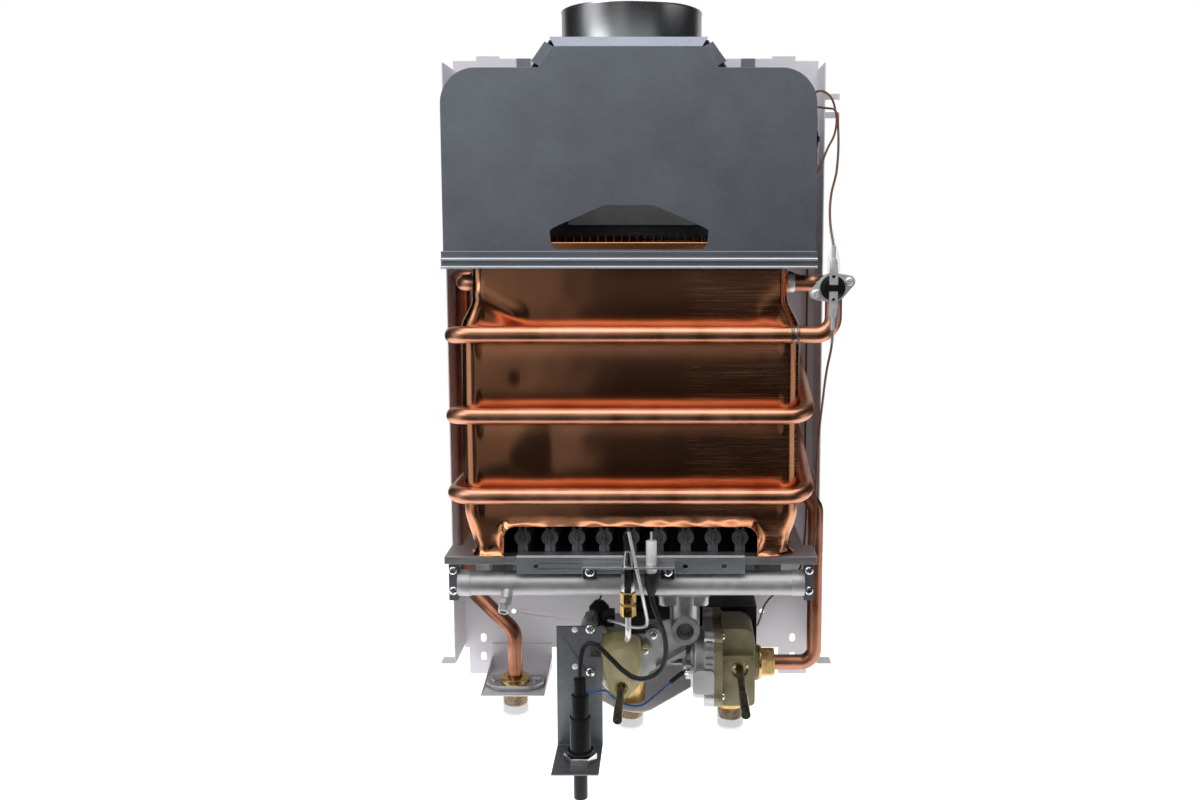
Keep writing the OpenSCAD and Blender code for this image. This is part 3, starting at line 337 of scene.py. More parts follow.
    for name, alpha, low, high in (
        ("clear_plastic", 0.16, (0.76, 0.76, 0.79), (0.84, 0.84, 0.87)),
        ("cap_plastic", 0.2, (0.22, 0.22, 0.23), (0.28, 0.28, 0.29)),
    ):
        Look(name, Alpha=alpha).mottle(140, 3, low, high, 0.1, 0.2)

    ceramic = Look("white_ceramic", Roughness=0.3, Coat_Weight=0.3, Coat_Roughness=0.1)
    speck = ceramic.noise(520, 4)
    ceramic.tint(speck, (0.8, 0.79, 0.76), (0.9, 0.89, 0.87), end=0.6)
    ceramic.relief(speck, 0.04, 0.08)

    shaft = Look("steel_shaft", 1.0)
    milled = shaft.noise(900, 3, (1, 0.08, 1))
    shaft.tint(shaft.noise(70, 3), (0.13, 0.125, 0.095), (0.26, 0.245, 0.185))
    shaft.gloss(milled, 0.22, 0.4).relief(milled, 0.06, 0.08)

    for name, low, high in (
        ("brown_wire", (0.12, 0.05, 0.026), (0.2, 0.088, 0.048)),
        ("blue_wire", (0.012, 0.05, 0.18), (0.02, 0.085, 0.3)),
        ("black_lead", (0.007, 0.007, 0.008), (0.015, 0.015, 0.016)),
    ):
        Look(name, Specular_IOR_Level=0.35).mottle(260, 3, low, high, 0.28, 0.46)


def make_floor():
    pale = Look("pale_floor", Roughness=0.7, Emission_Strength=FLOOR_GLOW)
    pale.set("Emission Color", (1, 1, 1, 1))
    pale.tint(pale.noise(3, 2), (0.85, 0.85, 0.85), (0.88, 0.88, 0.88))
    z = cad_low.z - FLOOR_DROP
    corners = [(-FLOOR_HALF, FLOOR_FRONT, z), (FLOOR_HALF, FLOOR_FRONT, z),
               (FLOOR_HALF, FLOOR_BACK, z), (-FLOOR_HALF, FLOOR_BACK, z)]
    mesh = bpy.data.meshes.new("floor")
    mesh.from_pydata(corners, [], [(0, 1, 2, 3)])
    mesh.materials.append(pale.material)
    floor = bpy.data.objects.new("floor", mesh)
    scene.collection.objects.link(floor)


# Shapes that several pieces use. Each returns its points and its faces.
class Shape:
    """Points and faces gathered from several shapes."""

    def __init__(self):
        self.points, self.faces = [], []

    def add(self, shape):
        points, faces = shape
        start = len(self.points)
        self.points += [Vector(p) for p in points]
        self.faces += [[start + k for k in face] for face in faces]
        return self


def quads(rows, columns, closed=False):
    """Faces between rows of points that each go round. Closed also joins the last row to the first."""
    faces = []
    for i in range(rows if closed else rows - 1):
        j = (i + 1) % rows
        for k in range(columns):
            m = (k + 1) % columns
            faces.append((i * columns + k, i * columns + m, j * columns + m, j * columns + k))
    return faces


def circle(side, other, steps):
    """Ways all round, from two ways across an axis."""
    angles = [math.tau * k / steps for k in range(steps)]
    return [side * math.cos(a) + other * math.sin(a) for a in angles]


def around(axis, steps):
    """An axis as a unit vector, and the ways all round it."""
    axis = Vector(axis).normalized()
    side = axis.orthogonal().normalized()
    return axis, circle(side, axis.cross(side), steps)


def rounded(route, bend, step=9.0):
    """Points along a route of frame points with its corners rounded to a bend in millimetres."""
    bend *= MM
    path = [route[0]]
    for before, corner, after in zip(route, route[1:], route[2:]):
        u, v = (corner - before).normalized(), (after - corner).normalized()
        turn = u.angle(v)
        if turn < 1e-3:
            path.append(corner)
            continue
        tangent = bend * math.tan(turn / 2)
        side = (v - u * u.dot(v)).normalized()
        centre = corner - u * tangent + side * bend
        count = max(3, round(math.degrees(turn) / step))
        for k in range(count + 1):
            a = turn * k / count
            path.append(centre - side * bend * math.cos(a) + u * bend * math.sin(a))
    path.append(route[-1])
    return path


def refine(path, step):
    """The path with extra points, so that none lie further apart than step millimetres."""
    fine = [path[0]]
    for a, b in zip(path, path[1:]):
        count = max(1, math.ceil((b - a).length / (step * MM)))
        fine += [a.lerp(b, k / count) for k in range(1, count + 1)]
    return fine


def sweep(path, radius, sides=24, flat=1.0, across=None):
    """A tube of a radius in millimetres, or one for each point, along a path, with closed ends."""
    count = len(path)
    radii = radius if isinstance(radius, list) else [radius] * count
    tangents = [(path[min(i + 1, count - 1)] - path[max(i - 1, 0)]).normalized() for i in range(count)]
    side = across or tangents[0].orthogonal()
    points = []
    for p, t, r in zip(path, tangents, radii):
        side = (side - t * side.dot(t)).normalized()
        points += [p + way * r * MM for way in circle(side, t.cross(side) * flat, sides)]
    faces = quads(count, sides)
    faces.append(tuple(range(sides - 1, -1, -1)))
    faces.append(tuple((count - 1) * sides + k for k in range(sides)))
    return points, faces


def lathe(profile, base, axis, steps=40, ring=False):
    """A solid of revolution from (radius, height) pairs in millimetres along an axis from a base point.

    A ring joins its last pair to the first instead of closing the ends.
    """
    axis, circling = around(axis, steps)
    points, faces, rings = [], [], []
    for r, h in profile:
        centre = base + axis * h * MM
        if r == 0:
            rings.append([len(points)])
            points.append(centre)
            continue
        rings.append(list(range(len(points), len(points) + steps)))
        points += [centre + way * r * MM for way in circling]
    for low, high in zip(rings, rings[1:] + rings[:1] if ring else rings[1:]):
        for k in range(steps):
            m = (k + 1) % steps
            corners = [low[k % len(low)], low[m % len(low)], high[m % len(high)], high[k % len(high)]]
            face = tuple(dict.fromkeys(corners))
            if len(face) > 2:
                faces.append(face)
    for end, turn in ((rings[0], -1), (rings[-1], 1)):
        if len(end) > 1 and not ring:
            faces.append(tuple(end[::turn]))
    return points, faces


def slab(x, d, z):
    """A box from pairs of right, depth and height."""
    points = [at(x[i], d[j], z[k]) for k in (0, 1) for j in (1, 0) for i in (0, 1)]
    faces = [(0, 2, 3, 1), (4, 5, 7, 6), (0, 1, 5, 4), (1, 3, 7, 5), (3, 2, 6, 7), (2, 0, 4, 6)]
    return points, faces


def plane(x, d, z, right, up):
    """A matrix from millimetres in a plane, with its normal third, to the frame."""
    right, up = Vector(right), Vector(up)
    turn = Matrix((right, up, right.cross(up))).transposed().to_4x4()
    return Matrix.Translation(at(x, d, z)) @ turn @ Matrix.Scale(MM, 4)


RIGHT, FRONT, BACK = (1, 0, 0), (0, -1, 0), (0, 1, 0)
UP, DOWN = (0, 0, 1), (0, 0, -1)


def arc(centre, radius, start, end, steps=12):
    """Points of a circle between two angles."""
    angles = [start + (end - start) * k / steps for k in range(steps + 1)]
    return [(centre[0] + radius * math.cos(a), centre[1] + radius * math.sin(a)) for a in angles]


def prism(outline, low, high, place):
    """A solid between two copies of an outline in a plane."""
    n = len(outline)
    points = [place @ Vector((a, b, h)) for h in (low, high) for a, b in outline]
    faces = [tuple(range(n - 1, -1, -1)), tuple(range(n, 2 * n))]
    faces += [(k, (k + 1) % n, n + (k + 1) % n, n + k) for k in range(n)]
    return points, faces


def block(a, b, low, high, place):
    """A box in a plane from pairs of its two ways and its two levels."""
    return prism([(a[0], b[0]), (a[1], b[0]), (a[1], b[1]), (a[0], b[1])], low, high, place)


def tab(half, ends, hole, radius, low, high, place, steps=32):
    """A flat blade with one round hole."""
    inner, outer = [], []
    for k in range(steps):
        a = math.tau * (k + 0.5) / steps
        c, s = math.cos(a), math.sin(a)
        reach = min(half / abs(c), (ends[1] - hole) / s if s > 0 else (hole - ends[0]) / -s)
        inner.append((radius * c, hole + radius * s))
        outer.append((reach * c, hole + reach * s))
    rings = [(inner, low), (outer, low), (outer, high), (inner, high)]
    points = [place @ Vector((a, b, h)) for ring, h in rings for a, b in ring]
    return points, quads(len(rings), steps, closed=True)


def screw_head(base, axis, radius, turn):
    """A pan head with a cross recess, standing on a base point along an axis."""
    rings, steps = 14, 48
    rise, rim, slope = 2.4, 0.55, 2.6
    recess, arm_half, arm_end = 1.0, 0.2, 0.62
    half_soft, end_soft = 0.05, 0.08
    axis, circling = around(axis, steps)
    points = []
    for r in range(rings + 1):
        share = min(r, rings - 1) / (rings - 1)
        dome = rise * (rim + (1 - rim) * (1 - share ** slope))
        for k, way in enumerate(circling):
            a = math.tau * k / steps + turn
            u, v = share * math.cos(a), share * math.sin(a)
            arms = [min((arm_half - abs(p)) / half_soft, (arm_end - abs(q)) / end_soft, 1)
                    for p, q in ((u, v), (v, u))]
            height = 0 if r == rings else dome - recess * max(*arms, 0)
            points.append(base + (way * share * radius + axis * height) * MM)
    faces = quads(rings + 1, steps)
    faces.append(tuple(rings * steps + k for k in range(steps)))
    return points, faces


def threaded(base, axis, radius, length, pitch, depth, bore, steps=48):
    """A hollow threaded end from a base point along an axis."""
    rows_a_turn, end_share = 6, 0.3
    axis, circling = around(axis, steps)
    rows = round(length / pitch * rows_a_turn)
    rings = [(bore, 0)] + [(None, length * k / rows) for k in range(rows + 1)] + [(bore, length)]
    points = []
    for fixed, h in rings:
        fade = min(1, h / pitch + end_share, (length - h) / pitch + end_share)
        for k, way in enumerate(circling):
            phase = (h / pitch - k / steps) % 1
            r = fixed or radius - depth * (1 - abs(2 * phase - 1) * fade)
            points.append(base + way * r * MM + axis * h * MM)
    return points, quads(len(rings), steps, closed=True)


# Pieces of the scene
BEVEL_ANGLE = math.radians(32)
WELD_GAP = 0.002


def piece(name, shape, look, stands_for=None, bevel=0, sharp=35):
    """An object of the scene from a Shape. Its material slot holds its look's material, which has the
    look's name.
    """
    mesh = bpy.data.meshes.new(name)
    mesh.from_pydata([tuple(p) for p in shape.points], [], shape.faces)
    mesh.update()
    mesh.materials.append(LOOKS[look].material)
    mesh.polygons.foreach_set("use_smooth", [True] * len(mesh.polygons))
    mesh.set_sharp_from_angle(angle=math.radians(sharp))
    obj = bpy.data.objects.new(name, mesh)
    scene.collection.objects.link(obj)
    if bevel:
        add_bevel(obj, bevel)
    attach(obj, ROOT)
    if stands_for:
        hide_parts(stands_for)
    return obj


def add_bevel(obj, width):
    bevel = obj.modifiers.new("soft_edges", "BEVEL")
    bevel.width = width * MM
    bevel.segments = 2
    bevel.limit_method = "ANGLE"
    bevel.angle_limit = BEVEL_ANGLE
    bevel.harden_normals = True


def dress(node, look, bevel):
    """Gives a node that stays its material and soft edges."""
    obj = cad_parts[node]
    obj.data.materials.clear()
    obj.data.materials.append(LOOKS[look].material)
    weld = obj.modifiers.new("weld", "WELD")
    weld.merge_threshold = WELD_GAP * MM
    if bevel:
        add_bevel(obj, bevel)


make_camera()
make_studio()
make_floor()
make_looks()

# Nodes that stay as they are: look, width of the soft edges, and names
STAYING = [
    ("white_paint", 0.3, ["wall_plate", "hot_bracket", "gas_bracket"]),
    ("galvanised", 0.3, ["hood_hangers", "hood_shell"]),
    ("galvanised", 0.25, ["hood_front"]),
    ("galvanised", 0.5, ["end_brackets"]),
    ("dull_sheet", 0.3, ["draught_baffle"]),
    ("dark_copper", 0, ["fins", "finned_tubes"]),
    ("copper_tube", 0, ["return_bends"]),
    ("tray_steel", 0.3, ["burner_tray"]),
    # Lighter copy of the galvanised sheet: painted light
    ("lit_galvanised", 0.3, ["front_bracket"]),
    # Darker copy of the galvanised sheet: painted shade
    ("shaded_galvanised", 0.3, ["igniter_bracket"]),
    ("alloy", 0.7, ["gas_manifold"]),
    ("valve_alloy", 0.8, ["gas_valve", "diaphragm_cover"]),
    ("brass", 0.2, ["jets"]),
    ("brass", 0.3, ["gas_spindle", "water_bush"]),
    ("brass", 0.4, ["pilot_nuts"]),
    ("brass", 0.5, ["inlet_nut"]),
    ("chrome", 0.25, ["pilot_bracket"]),
    ("chrome", 0.3, ["pilot_burner"]),
    ("chrome", 0.5, ["igniter_nut"]),
    ("zinc", 0, ["pilot_tube"]),
    ("zinc", 0.2, ["electrode_pin"]),
    ("white_ceramic", 0.5, ["electrode_ceramic"]),
    ("black_rubber", 0.6, ["electrode_boot", "magnet_cap"]),
    ("black_plastic", 0.5, ["igniter_body", "micro_switch"]),
    ("black_plastic", 0.7, ["igniter_button"]),
    ("pale_olive", 0.8, ["gas_valve_cap"]),
    ("olive_plastic", 0.8, ["water_valve"]),
    ("steel_shaft", 0.3, ["push_rod"]),
    ("steel_shaft", 0.4, ["gas_shaft", "water_shaft"]),
    ("cap_plastic", 0.5, ["hot_cap", "cold_cap", "gas_cap"]),
]
for look, bevel, nodes in STAYING:
    for node in nodes:
        dress(node, look, bevel)


# Leads: node, look and slot, diameter, stiffness, and a route that repeats the points of the solid
LIMIT_X, LIMIT_D, LIMIT_Z = 150.05, 164.9, 208.5
SPILL_X, SPILL_D, SPILL_Z = 143.0, 100.0, 321.0
FEED_X = 152.05
CORDS = {
    "ignition_cord": ("ignition_lead", "black_lead", 4.0, "stiff", [
        (16, 158, -28), (17, 158, -34), (21, 157, -46), (25, 155, -58), (27, 153, -70),
        (26, 151, -82), (22, 149, -92), (14, 147, -98), (4, 146, -99), (-6, 144, -94),
        (-16, 142, -85), (-25, 140, -77), (-32, 139, -73.5), (-37, 139, -76), (-39.5, 140, -82),
        (-40.5, 142, -91), (-41, 142, -101)]),
    "limit_wire_up": ("thermostat_wires", "brown_wire", 1.8, "medium", [
        (LIMIT_X, LIMIT_D + 5, LIMIT_Z + 30.4), (LIMIT_X - 2, LIMIT_D, LIMIT_Z + 46),
        (LIMIT_X, 150, LIMIT_Z + 66), (LIMIT_X + 7, 130, LIMIT_Z + 88), (FEED_X + 9, 105, 330),
        (FEED_X + 10, 80, 345), (FEED_X + 4, 62, 349), (148, 66, 349), (143, 84, 343),
        (140, 94, SPILL_Z + 26), (SPILL_X, SPILL_D, SPILL_Z + 19.8)]),
    "spill_wire": ("thermostat_wires", "brown_wire", 1.8, "medium", [
        (SPILL_X, SPILL_D, SPILL_Z - 19.8), (142, 96, SPILL_Z - 26), (148, 84, SPILL_Z - 24),
        (158, 68, 316), (165, 60, 330), (166, 55, 346), (160, 52, 361), (152, 47, 364), (149, 36, 356),
        (149, 24, 340), (149, 16, 316), (149, 14, 280), (149, 14, 180), (149, 14, 60), (149, 14, -30),
        (144, 15, -54), (128, 18, -64), (100, 24, -70), (60, 36, -70), (10, 50, -62), (-12, 58, -55),
        (-25, 68, -53), (-30, 74, -60.6)]),
    "limit_wire_down": ("thermostat_wires", "brown_wire", 1.8, "medium", [
        (LIMIT_X, LIMIT_D + 5, LIMIT_Z - 30.4), (LIMIT_X + 1, LIMIT_D - 6, LIMIT_Z - 44),
        (LIMIT_X - 1, 150, 146), (LIMIT_X - 1, 128, 118), (LIMIT_X - 1, 106, 84),
        (LIMIT_X - 1, 92, 40), (LIMIT_X - 1, 88, -6), (146, 86, -30), (132, 84, -42),
        (119, 80, -52), (112, 70, -63), (109, 58, -76), (107.5, 50, -86), (106.1, 42, -94)]),
    "thermocouple_lead": ("thermocouple", "zinc", 2.6, "stiff", [
        (-1, 162.5, 23), (1.5, 162.5, 11), (4.5, 162.5, -4), (7.5, 162, -18), (10, 160, -32),
        (11.5, 152, -44), (12, 138, -56), (9, 122, -66), (0, 112, -70), (-13, 104, -69),
        (-21, 96.5, -70)]),
    "earth_lead": ("earth_wire", "blue_wire", 1.8, "medium", [
        (-35.2, 142, -111), (-30, 143, -112), (-25, 142, -111), (-20, 138, -113), (-16, 134, -119),
        (-9, 131, -125.5), (-1, 129, -129), (7, 127, -129.5), (17, 122, -124.5), (28, 115, -117.5),
        (36, 109, -113), (40.4, 104.8, -111.3)]),
}


def make_cord(name, node, look, diameter, stiffness, route):
    curve = bpy.data.curves.new(name, "CURVE")
    curve.dimensions = "3D"
    curve.bevel_depth = diameter / 2 * MM
    curve.bevel_resolution = 5
    curve.resolution_u = 10
    curve.use_fill_caps = True
    spline = curve.splines.new("BEZIER")
    spline.bezier_points.add(len(route) - 1)
    for knot, place in zip(spline.bezier_points, route):
        knot.co = at(*place)
        knot.handle_left_type = knot.handle_right_type = "AUTO"
    curve.materials.append(LOOKS[look].material)
    cord = bpy.data.objects.new(name, curve)
    scene.collection.objects.link(cord)
    bpy.context.view_layer.update()
    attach(cord, ROOT)
    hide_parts(node)


for name, values in CORDS.items():
    make_cord(name, *values)


# Water tubes
TUBE_R, TUBE_SIDES, TUBE_STEP = 6.35, 28, 6
SWELL = 0.05
(_, coil_x), (coil_back, coil_front), _ = span("coil_tube")
COIL_X = coil_x - TUBE_R - SWELL
COIL_BACK = coil_back + TUBE_R + SWELL
COIL_FRONT = coil_front - TUBE_R - SWELL
COIL_Z, COIL_PITCH = 50, 61.5
COIL_START, COIL_LOW = COIL_BACK + 25, COIL_Z - 3
TOP_Z = COIL_Z + 2 * COIL_PITCH
RIGHT_RISE, LEFT_RISE = 0.62, 0.72
JOINT_X = 125
NECK_X = 118
CORE_Z, CORE_FRONT, CORE_REAR = 210, COIL_FRONT - 26.5, COIL_FRONT - 110.5
FEED_D, FEED_BEND_Z, FEED_Z, FEED_END_X = COIL_BACK + 49, COIL_Z - 32, -116, 118
HOT_X = span("hot_tube")[0][0] + TUBE_R + SWELL
HOT_D, HOT_BEND_Z = 22, -66
HOT_AT = (-106, 45)


def coil_route():
    route = [(COIL_X, COIL_START, COIL_LOW), (COIL_X, COIL_BACK, COIL_LOW),
             (-COIL_X, COIL_BACK, COIL_Z - 2), (-COIL_X, COIL_FRONT, COIL_Z)]
    for turn in range(2):
        z = COIL_Z + turn * COIL_PITCH
        route += [(COIL_X, COIL_FRONT, z), (COIL_X, COIL_BACK, z + RIGHT_RISE * COIL_PITCH),
                  (-COIL_X, COIL_BACK, z + LEFT_RISE * COIL_PITCH), (-COIL_X, COIL_FRONT, z + COIL_PITCH)]
    return route + [(JOINT_X, COIL_FRONT, TOP_Z)]


# Bend, look and route
TUBES = {
    "coil_tube": (16, "copper_tube", coil_route()),
    "feed_tube": (12, "darker_tube_copper", [
        (COIL_X, COIL_START, COIL_LOW), (COIL_X, FEED_D, COIL_LOW), (FEED_X, FEED_D, FEED_BEND_Z),
        (FEED_X, FEED_D, FEED_Z), (FEED_END_X, FEED_D, FEED_Z)]),
    "riser_tube": (13, "copper_tube", [
        (JOINT_X, COIL_FRONT, TOP_Z), (FEED_X, COIL_FRONT, TOP_Z), (FEED_X, COIL_FRONT, CORE_Z),
        (FEED_X, CORE_FRONT, CORE_Z), (NECK_X + 1, CORE_FRONT, CORE_Z)]),
    "hot_tube": (12, "darker_tube_copper", [
        (-NECK_X - 1, CORE_REAR, CORE_Z), (HOT_X, CORE_REAR, CORE_Z), (HOT_X, HOT_D, CORE_Z),
        (HOT_X, HOT_D, HOT_BEND_Z), (*HOT_AT, -98), (*HOT_AT, -138)]),
}
for node, (bend, look, route) in TUBES.items():
    path = refine(rounded([at(*p) for p in route], bend), TUBE_STEP)
    tube = Shape().add(sweep(path, TUBE_R, TUBE_SIDES))
    piece(node + "_bent", tube, look, node)


# Copper jacket: a lofted sheet with a flared neck, a tapered skirt and the ignition cut-out
(_, jacket_x), (jacket_back, jacket_front), (_, jacket_top) = span("copper_jacket")
JACKET_STEPS = [  # height, half width, back, front, corner radius
    (0, jacket_x - 8, jacket_back + 6, jacket_front - 6, 12),
    (34, jacket_x, jacket_back, jacket_front, 12),
    (179, jacket_x, jacket_back, jacket_front, 12),
    (197, jacket_x - 10, jacket_back + 4, jacket_front - 0.5, 8),
    (jacket_top, jacket_x - 10, jacket_back + 4, jacket_front - 0.5, 8),
]
CUT_X, CUT_Z, CUT_R = jacket_x - 31, 25, 9
SHEET = 1.0
NECK_TOP = jacket_top - 8.5
FOLD_EASE = (-3, -1.5, 0, 1.5, 3)
# Waves of the whole sheet: length, height and shift. They are higher in the slack part
WAVES = [(62, 0.45, (0, 0, 0)), (21, 0.14, (7, 3, 1))]
SLACK, SLACK_LOW, SLACK_HIGH = 1.6, 45, 105
# Crumpled skirt: waves with length and height, below a height
CRUMPLES = [(12, 2.0), (5.5, 0.9)]
CRUMPLE_Z = 30.0
# Rolled lower edge, and the grooves pressed in along the coil
LIP_W, LIP_OUT, LIP_WAVE, LIP_SHIFT = 9.0, 5.0, 9, (2, 5, 8)
PRESS, PRESS_W = 3.0, 13.0


def jacket_section(z):
    """Half width, back, front and corner radius at a height, with the folds eased."""
    def plain(h):
        h = min(max(h, 0), jacket_top)
        for low, high in zip(JACKET_STEPS, JACKET_STEPS[1:]):
            if h <= high[0]:
                t = (h - low[0]) / (high[0] - low[0])
                return [a + (b - a) * t for a, b in zip(low[1:], high[1:])]
        return list(JACKET_STEPS[-1][1:])
    ease = [plain(z + k) for k in FOLD_EASE]
    return [sum(values) / len(ease) for values in zip(*ease)]


def sheet_edge(kind, x, z):
    """Distance of a point of the sheet from its lower edge, in millimetres."""
    if kind != "front":
        return z
    over_x, over_z = abs(x) - (CUT_X - CUT_R), z - (CUT_Z - CUT_R)
    gap = math.hypot(max(over_x, 0), max(over_z, 0)) + min(max(over_x, over_z), 0) - CUT_R
    return min(gap, z) if abs(x) > CUT_X else gap


# Creases at the neck's corners, as ends and depth
CREASES = [((-112, 203), (-86, 187), 2.2), ((-108, 190), (-90, 180), -1.2), ((112, 202), (101, 190), 1.2)]
# Dents of the front: place, half sizes and depth
DENTS = [(-82, 139, 7, 6, -0.7), (-60, 85, 13, 22, -1.1), (-96, 78, 13, 10, 0.9), (66, 80, 14, 10, -1.0),
         (98, 130, 7, 26, -0.8)]
CREASE_W = 5.5
FRONT_DEPTH = 20


def jacket_dent(kind, x, d, z):
    """How far the thin sheet stands out at a point, in millimetres."""
    p = Vector((x, d, z))
    slack = SLACK if SLACK_LOW < z < SLACK_HIGH else 1.0
    out = sum(high * slack * noise.noise(p / length + Vector(shift)) for length, high, shift in WAVES)
    if d > jacket_front - FRONT_DEPTH:
        for start, end, depth in CREASES:
            a, b, q = Vector(start), Vector(end), Vector((x, z))
            t = min(max((q - a).dot(b - a) / (b - a).length_squared, 0), 1)
            out += depth * math.exp(-(((q - a.lerp(b, t)).length / CREASE_W) ** 2))
        for dent_x, dent_z, wide, high, depth in DENTS:
            out += depth * math.exp(-(((x - dent_x) / wide) ** 2) - (((z - dent_z) / high) ** 2))
    if kind == "front":
        for turn in range(3):
            out -= PRESS * math.exp(-(((z - COIL_Z - turn * COIL_PITCH) / PRESS_W) ** 2))
    if z < CRUMPLE_Z:
        share = 1 - z / CRUMPLE_Z
        out += share * sum(high * noise.noise(p / length) for length, high in CRUMPLES)
    edge = max(sheet_edge(kind, x, z), 0)
    if edge < LIP_W:
        wave = 1 + 0.5 * noise.noise(p / LIP_WAVE + Vector(LIP_SHIFT))
        out += LIP_OUT * wave * (1 - edge / LIP_W) ** 2
    return out


def jacket_point(kind, t, half, back, front, radius):
    """A column's point on the jacket's section, and its outward normal."""
    straight_x, straight_d = half - radius, (front - back) / 2 - radius
    middle = (front + back) / 2
    if kind == "front":
        over = max(abs(t) - CUT_X - 1, 0) * (straight_x - CUT_X - 1) / (jacket_x - 13 - CUT_X)
        return (math.copysign(min(abs(t), CUT_X + 1) + over, t), front), (0, 1)
    if kind == "back":
        return (-t * straight_x, back), (0, -1)
    if kind == "right":
        return (half, middle - t * straight_d), (1, 0)
    if kind == "left":
        return (-half, middle + t * straight_d), (-1, 0)
    side_x, side_d, a = t
    c, s = math.cos(a), math.sin(a)
    return (side_x * straight_x + radius * c, middle + side_d * straight_d + radius * s), (c, s)


def jacket_columns():
    """Where the columns of the sheet stand: denser at the cut-out's ends and in the corners."""
    def corner(side_x, side_d, start):
        return [("corner", (side_x, side_d, math.radians(start + 90 * k / 10))) for k in range(11)]

    def evenly(count):
        return [k / count * 2 - 1 for k in range(1, count)]
    step, side_count, back_count = 3.0, 20, 40
    inner = [k * step for k in range(1, int((CUT_X - CUT_R - 2) / step) + 1)]
    bend = [CUT_X - CUT_R * (1 - math.sin(math.radians(a))) for a in (0, 20, 38, 54, 68, 80)]
    outer = [CUT_X + v for v in (0, 0.6, 1.6, 2.8, 4.2, 6, 8, 10.5, 13.5, 16.5)]
    half = inner + bend + outer
    across = [-v for v in reversed(half)] + [0] + half
    columns = corner(1, 1, 0) + [("front", x) for x in reversed(across)] + corner(-1, 1, 90)
    columns += [("left", -t) for t in reversed(evenly(side_count))] + corner(-1, -1, 180)
    columns += [("back", -t) for t in reversed(evenly(back_count))] + corner(1, -1, 270)
    return columns + [("right", -t) for t in evenly(side_count)]


def cut_height(kind, x):
    """Lower edge of the sheet at a column: the tray, or the edge of the ignition cut-out."""
    if kind != "front" or abs(x) > CUT_X + 0.3:
        return 0.0
    over = abs(x) - (CUT_X - CUT_R)
    if over <= 0:
        return CUT_Z
    return CUT_Z - CUT_R + math.sqrt(max(CUT_R ** 2 - min(over, CUT_R) ** 2, 0))


def make_jacket():
    low_rows, spread, step, rim = 16, 1.5, 4, 0.7
    columns = jacket_columns()
    first = JACKET_STEPS[1][0]
    rows = [(first, (k / low_rows) ** spread) for k in range(low_rows)]
    rows += [(first + step * k, 1) for k in range(int((NECK_TOP - first) / step))]
    rows += [(NECK_TOP - rim, 1), (NECK_TOP, 1)]
    points = []
    for height, share in rows:
        for kind, t in columns:
            low = cut_height(kind, t)
            z = low + (height - low) * share
            (px, pd), (nx, nd) = jacket_point(kind, t, *jacket_section(z))
            out = jacket_dent(kind, px, pd, z)
            points.append(at(px + nx * out, pd + nd * out, z))
    sheet = Shape().add((points, quads(len(rows), len(columns))))
    jacket = piece("jacket_sheet", sheet, "copper_sheet", "copper_jacket", sharp=180)
    solid = jacket.modifiers.new("sheet", "SOLIDIFY")
    solid.thickness = SHEET * MM
    solid.offset = -1


make_jacket()


# Flue collar with a turned rim, and beads along the hood's hem and the front bracket: rods for the folded
# edges, in bright steel rather than the galvanised sheet, so partly a painted highlight
COLLAR_WALL, COLLAR_SIDES = 1, 128
RIM_OUT, RIM_START, RIM_FULL, RIM_END = 0.35, 2.2, 1.4, 0.5
HEM_BEADS = [(0.7, 1.0, 1.0), (1.3, 6.9, 1.1)]  # behind the face, above the lower edge, radius
BRACKET_BEAD = (0.7, 0.6, 0.9)  # behind the face, below the upper edge, radius
BEAD_SIDES = 20


def make_collar():
    (x0, x1), (d0, d1), (low, high) = span("flue_collar")
    r, middle, top = (x1 - x0) / 2, (d0 + d1) / 2, high - low
    inner, rim = r - COLLAR_WALL, r + RIM_OUT
    profile = [(inner, 0), (r, 0), (r, top - RIM_START), (rim, top - RIM_FULL), (rim, top - RIM_END),
               (r, top), (inner, top)]
    collar = Shape().add(lathe(profile, at(0, middle, low), UP, COLLAR_SIDES, ring=True))
    piece("collar_ring", collar, "bright_steel", "flue_collar")


def make_highlight_beads():
    hem_x, (_, hem_face), (low, _) = span("hood_front")
    bracket_x, (_, bracket_face), (_, top) = span("front_bracket")
    rods = [(hem_x, hem_face - behind, low + rise, r) for behind, rise, r in HEM_BEADS]
    behind, drop, r = BRACKET_BEAD
    rods.append((bracket_x, bracket_face - behind, top - drop, r))
    beads = Shape()
    for (left, right), d, z, r in rods:
        beads.add(sweep([at(left, d, z), at(right, d, z)], r, BEAD_SIDES))
    # Bright steel on galvanised edges: painted highlight
    piece("highlight_beads", beads, "bright_steel")


make_collar()
make_highlight_beads()


# Screw heads with a cross recess: way they face, then right, depth, height of the seat and radius
SCREWS = [
    (FRONT, [(138, 146, -12, 3.2), (138, 146, -28, 3.2), (-138, 146, -12, 3.2), (-138, 146, -28, 3.2),
             (-31.5, 152.2, -11, 3.6), (28.5, 152.2, -11, 3.6), (-34.5, 115, -70.5, 3.6),
             (-34.5, 115, -106.5, 3.6), (-26.5, 101, -79, 3.0), (9.5, 101, -94, 3.0), (16, 100, -81, 3.4),
             (44.5, 103, -110, 3.6)]),
    (DOWN, [(26, 124, -46, 3.2), (56.5, 124, -46, 3.2)]),
    (RIGHT, [(73, 54, -80, 3.4), (73, 105, -80, 3.4), (73, 54, -131, 3.4), (73, 105, -131, 3.4)]),
    (UP, [(-124, 45, -142.9, 3.6), (-88, 45, -142.9, 3.6)]),
]
FIRST_TURN, NEXT_TURN = 0.4, 0.7


def make_screws():
    heads = Shape()
    for axis, places in SCREWS:
        for k, (x, d, z, radius) in enumerate(places):
            heads.add(screw_head(at(x, d, z), axis, radius, FIRST_TURN + NEXT_TURN * k))
    piece("screw_heads", heads, "chrome", "pan_screws")


make_screws()


